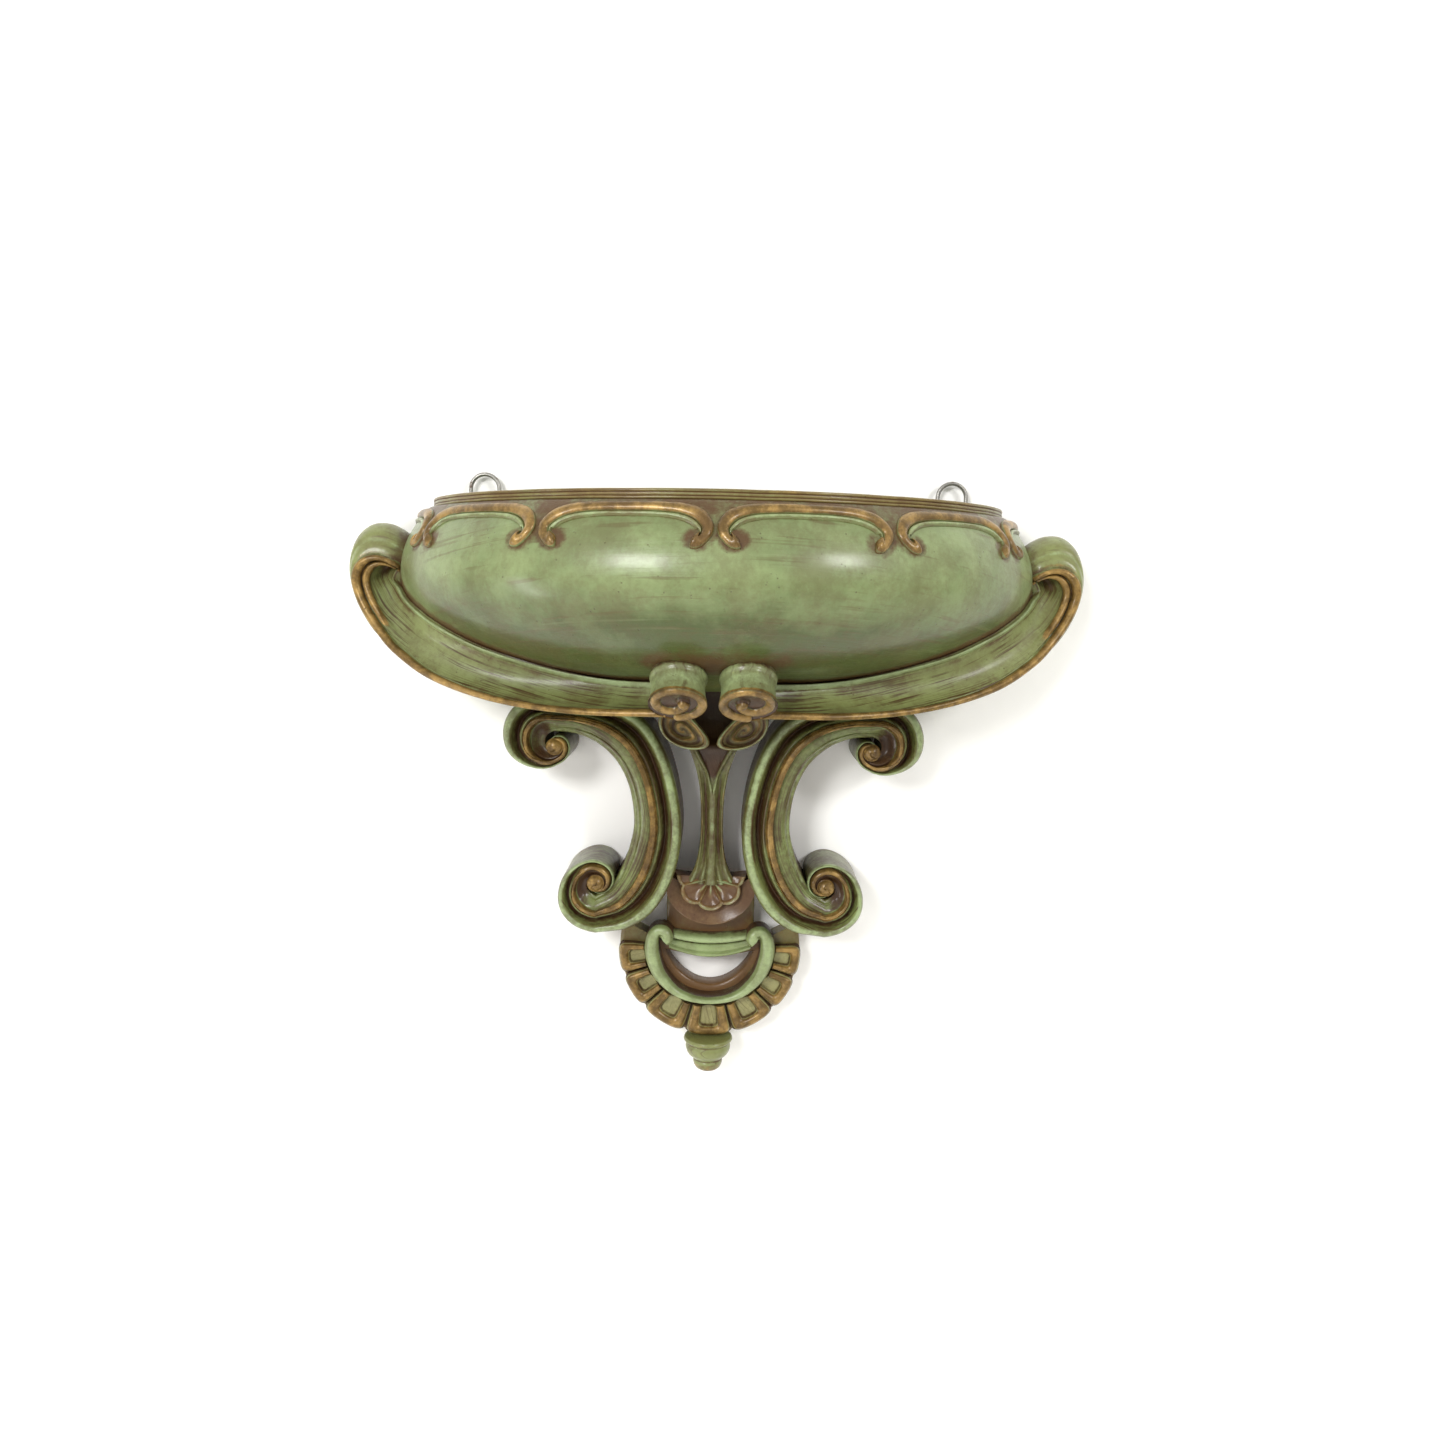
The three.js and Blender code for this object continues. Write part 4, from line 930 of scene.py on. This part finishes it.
def fan(material):
    """Leaf at the foot: polar rows below the strut. Three lobes end in a scalloped raised edge,
    with ribs between them, and a hollow cove runs from there to the outer rim."""
    low, high = box_mm("fan_leaf")
    centre_z = high[2] + 1.5
    angle = np.linspace(-97, 97, 181)[None]
    row = np.linspace(0, 1, 90)[:, None]
    bend = np.radians(angle)
    reach = np.minimum(27.6, 25.9 / np.maximum(np.abs(np.sin(bend)), 0.3))
    root_r = 2.0
    r = root_r + (reach - root_r) * row
    scallop = np.abs(np.cos(np.pi * angle / 52))
    lobe_r = 15.0 + 3.4 * scallop ** 0.6 + 0.02 * np.abs(angle)
    q = np.clip((r - lobe_r) / (reach - lobe_r), 0, 1)
    leaf = np.clip(r / lobe_r, 0, 1)
    edge = ridge(r, lobe_r - 0.8, 1.5)
    rib = (1 - smooth(0.0, 0.3, scallop)) * (1 - q) * smooth(0.2, 0.5, leaf)
    rim = ridge(row, 0.975, 0.03)
    y = (-27.2 + 2.6 * np.sin(np.pi * leaf) * scallop + 5.2 * smooth(0.0, 0.18, q)
         + 1.6 * np.sin(np.pi * q) - 3.2 * smooth(0.6, 1.0, q) - 0.9 * edge - 0.8 * rib - 0.6 * rim
         + 1.2 * (1 - row))
    front = np.stack([r * np.sin(bend), np.clip(y, low[1], -20), centre_z - r * np.cos(bend)], -1)
    spokes = (0.5 + 0.5 * np.cos(np.radians(angle) * 9)) ** 3 * (1 - smooth(0.35, 0.9, leaf)) * (1 - q)
    raised = np.maximum(edge, rib)
    umber = 0.95 - 0.7 * np.maximum(raised, np.maximum(spokes, 0.5 * rim))
    skin("fan_foot", backed(front, high[1]), material, "fan_leaf",
         {"pale": (0.42 * raised + 0.55 * spokes, 0), "umber": (umber, 1)})


def slot_edge(angle):
    """Smile-shaped slot: two arcs as parabolas of x, met by rays from the slot's middle."""
    middle_z = PLAQUE_Z - 13.5
    half, corner_z = 26.6, PLAQUE_Z - 2.0
    reach = np.linspace(0.5, 29, 240)[:, None]
    x, z = reach * np.cos(angle)[None], middle_z + reach * np.sin(angle)[None]
    s = np.clip(1 - (x / half) ** 2, 0, 1)
    inside = (z < corner_z - 4.2 * s) & (z > corner_z - 22.2 * s ** 0.75) & (np.abs(x) < half)
    far = np.where(inside, reach, 0).max(0)
    return np.maximum(far, 1.0), middle_z


def plaque(material):
    """Pierced plate: rings from the slot's edge over the front face, round the outer edge and
    back across the rear face to the slot again, which makes a torus."""
    count = 300
    angle = np.linspace(0, 2 * np.pi, count, endpoint=False)
    inner_r, middle_z = slot_edge(angle)
    inner = np.stack([inner_r * np.cos(angle), middle_z + inner_r * np.sin(angle)], -1)
    ray = np.stack([np.cos(angle), np.sin(angle)], -1)
    offset = middle_z - PLAQUE_Z
    along = -offset * ray[:, 1]
    outer_r = along + np.sqrt(np.maximum(PLAQUE_R ** 2 - offset ** 2 + along ** 2, 1))
    disc_z = middle_z + outer_r * ray[:, 1]
    trunk_half, trunk_top, shoulder_z = 26.5, PLAQUE_HIGH[2], PLAQUE_Z + 16
    up = (trunk_top - middle_z) / np.maximum(ray[:, 1], 1e-3)
    across = trunk_half / np.maximum(np.abs(ray[:, 0]), 1e-3)
    outer_r = np.where((ray[:, 1] > 0) & (disc_z > shoulder_z), np.minimum(up, across), outer_r)
    outer = np.stack([outer_r * ray[:, 0], middle_z + outer_r * ray[:, 1]], -1)
    rows, y, mask = [], [], []
    face = PLAQUE_FACE
    for share, depth, dark in ((0.0, -0.3, 1), (0.0, face * 0.5, 1), (0.004, face + 1.2, 1),
                               (0.02, face + 0.2, 1), (0.1, face, 1), (0.3, face, 0.9),
                               (0.6, face, 0.85), (0.9, face, 0.8), (0.975, face + 0.4, 0.5),
                               (0.995, face + 1.6, 0.4), (1.0, face * 0.7, 0.35),
                               (1.0, face * 0.4, 0.35), (0.998, -0.3, 0.5), (0.99, 0.0, 0.6),
                               (0.5, 0.0, 0.6), (0.01, 0.0, 0.8)):
        rows.append(inner + (outer - inner) * share)
        y.append(depth)
        mask.append(dark)
    rows = np.array(rows)
    grid = np.stack([rows[..., 0], np.array(y)[:, None] + 0 * rows[..., 0], rows[..., 1]], -1)
    corner = smooth(33, 40, np.abs(rows[..., 0])) * smooth(-292, -280, rows[..., 1])
    masks = {"umber": np.array(mask)[:, None] * (1 - 0.75 * corner), "pale": 0.3 * corner}
    skin("plaque_plate", grid, material, "base_plaque", masks, torus=True)


def brow(material):
    """Bands over the slot: rules between two sagging arcs, with a bright bead, a dark groove
    and a hollow second band."""
    low, high = box_mm("slot_brow")
    x = np.linspace(-24.4, 24.4, 90)[:, None]
    s = 1 - (x / 25.0) ** 2
    top = high[2] - 2.6 * s
    bottom = PLAQUE_Z + 0.6 - 5.6 * s
    v = np.linspace(0, 1, 40)[None]
    z = top + (bottom - top) * v
    relief = 5.2 * ridge(v, 0.2, 0.19) + 1.8 * ridge(v, 0.62, 0.2) + 2.2 * ridge(v, 0.9, 0.1)
    face = PLAQUE_FACE - 4.6 - relief
    front = np.stack([x + 0 * v, np.maximum(face, low[1]) + 0 * x, z], -1)
    pale = 0.8 * ridge(v, 0.2, 0.17) + 0.25 * ridge(v, 0.9, 0.08)
    umber = 0.9 * swell(v, 0.42, 0.06) + 0.5 * swell(v, 0.0, 0.05) + 0.3 * swell(v, 0.78, 0.08)
    skin("brow_bands", backed(front, high[1]), material, "slot_brow",
         {"pale": (pale, 0), "umber": (umber, 0.8)})


def crescent(material):
    """Bead round the slot: an oval section whose width follows a spline from one end ball,
    down round the slot and up to the other, with a cove on its inner side."""
    low, high = box_mm("crescent_frame")
    half_path = [(0, -307.8, 2.1), (17, -304.0, 2.7), (29.0, -293, 3.9), (34.0, -280.5, 4.4),
                 (34.2, -270.4, 4.1), (31.4, -265.2, 3.5), (27.4, -265.2, 3.6), (25.8, -268.4, 4.3),
                 (27.6, -270.2, 4.6)]
    both = [(-x, z, w) for x, z, w in half_path[:0:-1]] + half_path
    count = 300
    x, z, half = spline(both, count).T
    line = np.stack([x, 0 * x, z], -1)
    across = unit(np.cross(unit(np.gradient(line, axis=0)), np.array([0, 1.0, 0])))
    end = np.minimum(np.arange(count), np.arange(count)[::-1]) / count
    half = half * np.sqrt(np.clip(end / 0.016, 0.03, 1))
    a = np.linspace(0, np.pi, 27)[None]
    ball = swell(end, 0.012, 0.045)[:, None]
    lift = np.sin(a) * (3.0 + 0.4 * half[:, None] + 0.8 * ball)
    top = np.maximum(PLAQUE_FACE - 9.8 - 0.9 * smooth(0.18, 0.08, end)[:, None] - lift, low[1])
    front = line[:, None] + across[:, None] * (half[:, None] * np.cos(a))[..., None]
    front[..., 1] = top
    base = front[:, [-1, -1, 0, 0]].copy()
    base[:, 0, 1] = base[:, 3, 1] = PLAQUE_FACE - 5
    base[:, 1, 1] = base[:, 2, 1] = high[1]
    grid = np.concatenate([front, base], 1)
    crest = np.sin(a)
    skin("crescent_bead", grid, material, "crescent_frame",
         {"pale": (0.6 * smooth(0.5, 0.95, crest), 0),
          "umber": (0.9 * (1 - smooth(0.0, 0.4, crest)), 0.95)})


TAB_EDGES = [-4, 18.4, 43, 74, 106, 137, 161.6, 184]
TAB_GAP = 0.7


def tab(index, material):
    """Petal tab: a polar tile whose height depends on the distance to its outer edge and sides,
    so that a rounded U-shaped frame stands round a sunk panel."""
    low, high = box_mm(f"plaque_tab_{index + 1}")
    start, stop = TAB_EDGES[index] + TAB_GAP, TAB_EDGES[index + 1] - TAB_GAP
    share = np.linspace(0, 1, 64)[None]
    angle = -np.radians(start + (stop - start) * share)
    inner = 36.4 + 3.4 * np.cos(angle) ** 2
    row = np.linspace(0, 1, 56)[:, None]
    outer = PLAQUE_R + 0.3 - 2.2 * np.abs(2 * share - 1) ** 6
    r = inner + (outer - inner) * row
    wide = r * np.radians(stop - start)
    to_outer = (outer - r) / 6.2
    to_side = wide * np.minimum(share, 1 - share) / (0.28 * wide)
    round_off = 6.0
    gap = -np.log(np.exp(-round_off * to_outer) + np.exp(-round_off * to_side)) / round_off
    gap = np.maximum(gap, 0)
    frame_height = 5.0 * ridge(np.clip(gap, 0, 1.2), 0.5, 0.56)
    height = 0.9 + frame_height * (gap < 1.06) + 1.1 * smooth(1.0, 1.1, gap)
    y = np.maximum(high[1] - height, low[1])
    front = np.stack([r * np.cos(angle), y, PLAQUE_Z + r * np.sin(angle)], -1)
    on_frame = smooth(0.06, 0.2, gap) * (1 - smooth(0.84, 0.98, gap))
    umber = (0.85 * swell(gap, 1.0, 0.14) + 0.9 * (1 - smooth(0.02, 0.12, gap))
             + 0.1 * smooth(1.0, 1.1, gap))
    skin(f"petal_tab_{index + 1}", backed(front, high[1]), material,
         f"plaque_tab_{index + 1}", {"gold": (0.95 * on_frame, 0), "umber": (umber, 1)})


def finial(material):
    """Drop: a turned profile of collar, ball, neck and tip, about an upright axis."""
    low, high = box_mm("finial")
    centre_y = (low[1] + high[1]) / 2
    profile = spline([(0.3, 0), (12.6, 0), (14.5, -0.9), (14.7, -2.2), (13.2, -3.4), (13.0, -4.2),
                      (13.6, -6.6), (12.6, -10), (10.2, -12.6), (8.7, -13.7), (8.6, -14.6),
                      (8.9, -15.6), (8.4, -17.8), (7.2, -19.8), (4.6, -21.4), (0.3, -21.95)], 96)
    turn = full_turn(96)
    r, z = profile[:, :1], high[2] + profile[:, 1:]
    grid = np.stack([r * np.cos(turn), centre_y + r * np.sin(turn), z + 0 * turn], -1)
    drop = high[2] - z
    umber = 0.85 * swell(drop, 3.9, 1.0) + 0.9 * swell(drop, 14.1, 1.3) + 0.4 * smooth(15, 19, drop)
    gold = 0.5 * smooth(15, 16.5, drop) + 0.35 * swell(drop, 1.6, 1.4)
    skin("drop_finial", grid, material, "finial",
         {"umber": umber, "gold": gold, "pale": 0.35 * swell(drop, 7.5, 4)})


def hanging_loop(hand, material):
    """Wire arch: a round section carried up one leg, over a half circle and down the other."""
    low, high = box_mm(f"hanging_loop_{hand}")
    centre_x = (low[0] + high[0]) / 2
    wire = (high[1] - low[1]) / 2
    half = (high[0] - low[0]) / 2 - wire
    crown = high[2] - wire - half
    leg = np.linspace(low[2], crown, 16)[:-1]
    arc = np.linspace(np.pi, 0, 40)
    x = np.concatenate([0 * leg - half, half * np.cos(arc), 0 * leg + half])
    z = np.concatenate([leg, crown + half * np.sin(arc), leg[::-1]])
    line = np.stack([centre_x + x, np.full_like(x, (low[1] + high[1]) / 2), z], -1)
    along = unit(np.gradient(line, axis=0))
    out = np.array([0, 1.0, 0])
    across = unit(np.cross(along, out))
    a = full_turn(20)[..., None]
    grid = line[:, None] + wire * (np.cos(a) * across[:, None] + np.sin(a) * out)
    skin(f"wire_loop_{hand}", grid, material, f"hanging_loop_{hand}")


# ---- Making -----------------------------------------------------------------------------

# The bowl's second ground is the dark olive of its lower half, which there also stands in for shade.
bowl(paint("sage_bowl", ground=srgb(131, 146, 98), ground_two=srgb(66, 78, 30),
           streak=srgb(84, 68, 32), streak_amount=0.45, cover=0.4, along=300.0, across=11.0, film=0.34,
           glaze=srgb(82, 58, 28), glaze_scale=48.0, roughness=0.38, varnish=0.38))
rim(paint("streaked_rim", ground=srgb(122, 114, 64), ground_two=srgb(132, 100, 52), streak_amount=0.6,
          cover=0.45, along=10.0, across=900.0, film=0.5, glaze=srgb(92, 66, 34)))
frieze = paint("gilded_frieze", ground=srgb(112, 122, 74), ground_two=OLIVE, film=0.55,
               glaze=srgb(92, 66, 34), ragged=1.0)
for i in range(SCROLLS):
    frieze_scroll(i, frieze)
swag(paint("streaked_swag", ground=srgb(124, 132, 80), ground_two=srgb(86, 88, 42), streak_amount=0.9,
           cover=0.56, along=16.0, across=560.0, film=0.42, glaze=srgb(78, 56, 28), ragged=0.8,
           varnish=0.22))
hood = paint("olive_hood", ground=srgb(126, 134, 80), ground_two=srgb(96, 92, 46), streak_amount=0.5,
             along=20.0, across=260.0, film=0.42, glaze=srgb(80, 60, 34), ragged=0.8)
ear(hood)
volute(paint("rolled_volute", ground=srgb(134, 146, 100), ground_two=srgb(100, 100, 54),
             streak_amount=0.6, film=0.5, along=14.0, across=300.0, ragged=0.9))
bracket(paint("streaked_bracket", ground=srgb(118, 130, 76), ground_two=srgb(84, 80, 38),
              streak_amount=0.85, cover=0.56, along=16.0, across=620.0, film=0.6, ragged=0.9))
bud(paint("gilded_bud", ground=srgb(112, 96, 52), ground_two=OLIVE, film=0.6, ragged=0.9))
strut(paint("strut_green", ground=srgb(116, 124, 76), ground_two=srgb(80, 72, 38),
            streak_amount=0.8, cover=0.5, along=12.0, across=500.0, film=0.6, ragged=0.8))
fan(paint("umber_leaf", ground=srgb(118, 92, 54), ground_two=UMBER_RED, film=0.5,
          glaze=srgb(84, 56, 28), ragged=0.8))
plate = paint("plaque_ground", ground=srgb(112, 108, 58), ground_two=srgb(112, 84, 44), film=0.5,
              glaze=srgb(100, 70, 34))
plaque(plate)
pale_bead = paint("pale_bead", ground=srgb(130, 146, 96), ground_two=srgb(100, 106, 58), film=0.36,
                  streak_amount=0.5, ragged=0.8)
brow(pale_bead)
crescent(pale_bead)
tabs = paint("gilded_tab", ground=srgb(150, 148, 98), ground_two=srgb(124, 112, 64), film=0.35,
             ragged=0.7)
for i in range(7):
    tab(i, tabs)
finial(hood)
wire = steel("dull_wire")
for hand in ("right", "left"):
    hanging_loop(hand, wire)


# ---- Wall, floor, light and camera ------------------------------------------------------

def backdrop():
    """Pale wall and floor in one sheet, joined by a quarter-round cove. It is clear from
    behind, and to rays shorter than 2 mm, so that the back of the piece is seen and lit."""
    cove, floor_z, wall_y, nearest_ray = 0.35, -0.85, 0.0012, 0.002
    turn = np.linspace(0, np.pi / 2, 24)
    y = np.concatenate([[wall_y], wall_y - cove + cove * np.cos(turn), [-4.0]])
    z = np.concatenate([[2.6], floor_z + cove - cove * np.sin(turn), [floor_z]])
    x = np.array([-3.5, 3.5])
    grid = np.stack([np.broadcast_to(x, (len(y), 2)), np.repeat(y[:, None], 2, 1),
                     np.repeat(z[:, None], 2, 1)], -1).reshape(-1, 3)
    k = np.arange(len(y) - 1) * 2
    faces = np.stack([k, k + 2, k + 3, k + 1], -1)
    mesh = bpy.data.meshes.new("backdrop")
    mesh.from_pydata(grid.tolist(), [], faces.tolist())
    mesh.shade_smooth()
    sheet = bpy.data.objects.new("backdrop", mesh)
    bpy.context.scene.collection.objects.link(sheet)
    material, net, shader = new_material("pale_wall")
    net.feed(shader, {"Base Color": srgb(250, 249, 246), "Roughness": 0.9})
    clear = net.add("ShaderNodeBsdfTransparent")
    rear = net.add("ShaderNodeNewGeometry").outputs["Backfacing"]
    reach = net.add("ShaderNodeLightPath").outputs["Ray Length"]
    unseen = net.math("MAXIMUM", rear, net.math("LESS_THAN", reach, nearest_ray))
    both = net.add("ShaderNodeMixShader", {0: unseen, 1: shader.outputs[0], 2: clear.outputs[0]})
    net.feed(material.node_tree.nodes["Material Output"], {0: both.outputs[0]})
    mesh.materials.append(material)


def soft_light(name, azimuth, elevation, distance, width, height, power):
    """A rectangular softbox aimed at the piece from an angle in front of the wall."""
    a, e = math.radians(azimuth), math.radians(elevation)
    aim = Vector((0, -0.1, -0.1))
    away = Vector((math.sin(a) * math.cos(e), -math.cos(a) * math.cos(e), math.sin(e)))
    lamp = bpy.data.lights.new(name, "AREA")
    lamp.shape, lamp.size, lamp.size_y, lamp.energy = "RECTANGLE", width, height, power
    holder = bpy.data.objects.new(name, lamp)
    holder.location = aim + away * distance
    holder.rotation_euler = away.to_track_quat("Z", "Y").to_euler()
    bpy.context.scene.collection.objects.link(holder)


def camera():
    """Hand-held view: just below the rim, looking a little down, with a slight roll."""
    pitch, roll = math.radians(7.2), math.radians(1.15)
    ahead = Vector((0, math.cos(pitch), -math.sin(pitch)))
    right = Vector((1, 0, 0))
    up = right.cross(ahead)
    across = right * math.cos(roll) + up * math.sin(roll)
    upright = up * math.cos(roll) - right * math.sin(roll)
    stand = (0.005, -0.65, -0.0602)
    lens = bpy.data.cameras.new("camera")
    lens.sensor_width, lens.lens, lens.clip_start = 36.0, 27.06, 0.01
    body = bpy.data.objects.new("camera", lens)
    basis = Matrix((across, upright, -ahead)).transposed().to_4x4()
    body.matrix_world = Matrix.Translation(stand) @ basis
    bpy.context.scene.collection.objects.link(body)
    bpy.context.scene.camera = body


backdrop()
soft_light("window_left", -27, 20, 1.7, 0.5, 0.42, 18)
soft_light("window_right", 44, 24, 1.9, 0.36, 0.4, 13)
soft_light("side_strip", -66, -16, 1.5, 0.12, 0.7, 4)
GLOW_BELOW, GLOW_ABOVE = 0.16, 0.74
world = bpy.data.worlds.new("studio")
world.use_nodes = True
sky = Net(world.node_tree)
skyward = sky.add("ShaderNodeTexCoord").outputs["Generated"]
height = sky.add("ShaderNodeSeparateXYZ", {"Vector": skyward})
glow = sky.add("ShaderNodeMapRange", {"Value": height.outputs["Z"], "From Min": -0.5, "From Max": 0.5,
                                      "To Min": GLOW_BELOW, "To Max": GLOW_ABOVE})
sky.feed(world.node_tree.nodes["Background"], {0: (1.0, 0.99, 0.97, 1), 1: glow.outputs["Result"]})
bpy.context.scene.world = world
bpy.context.scene.view_settings.view_transform = "Standard"
camera()
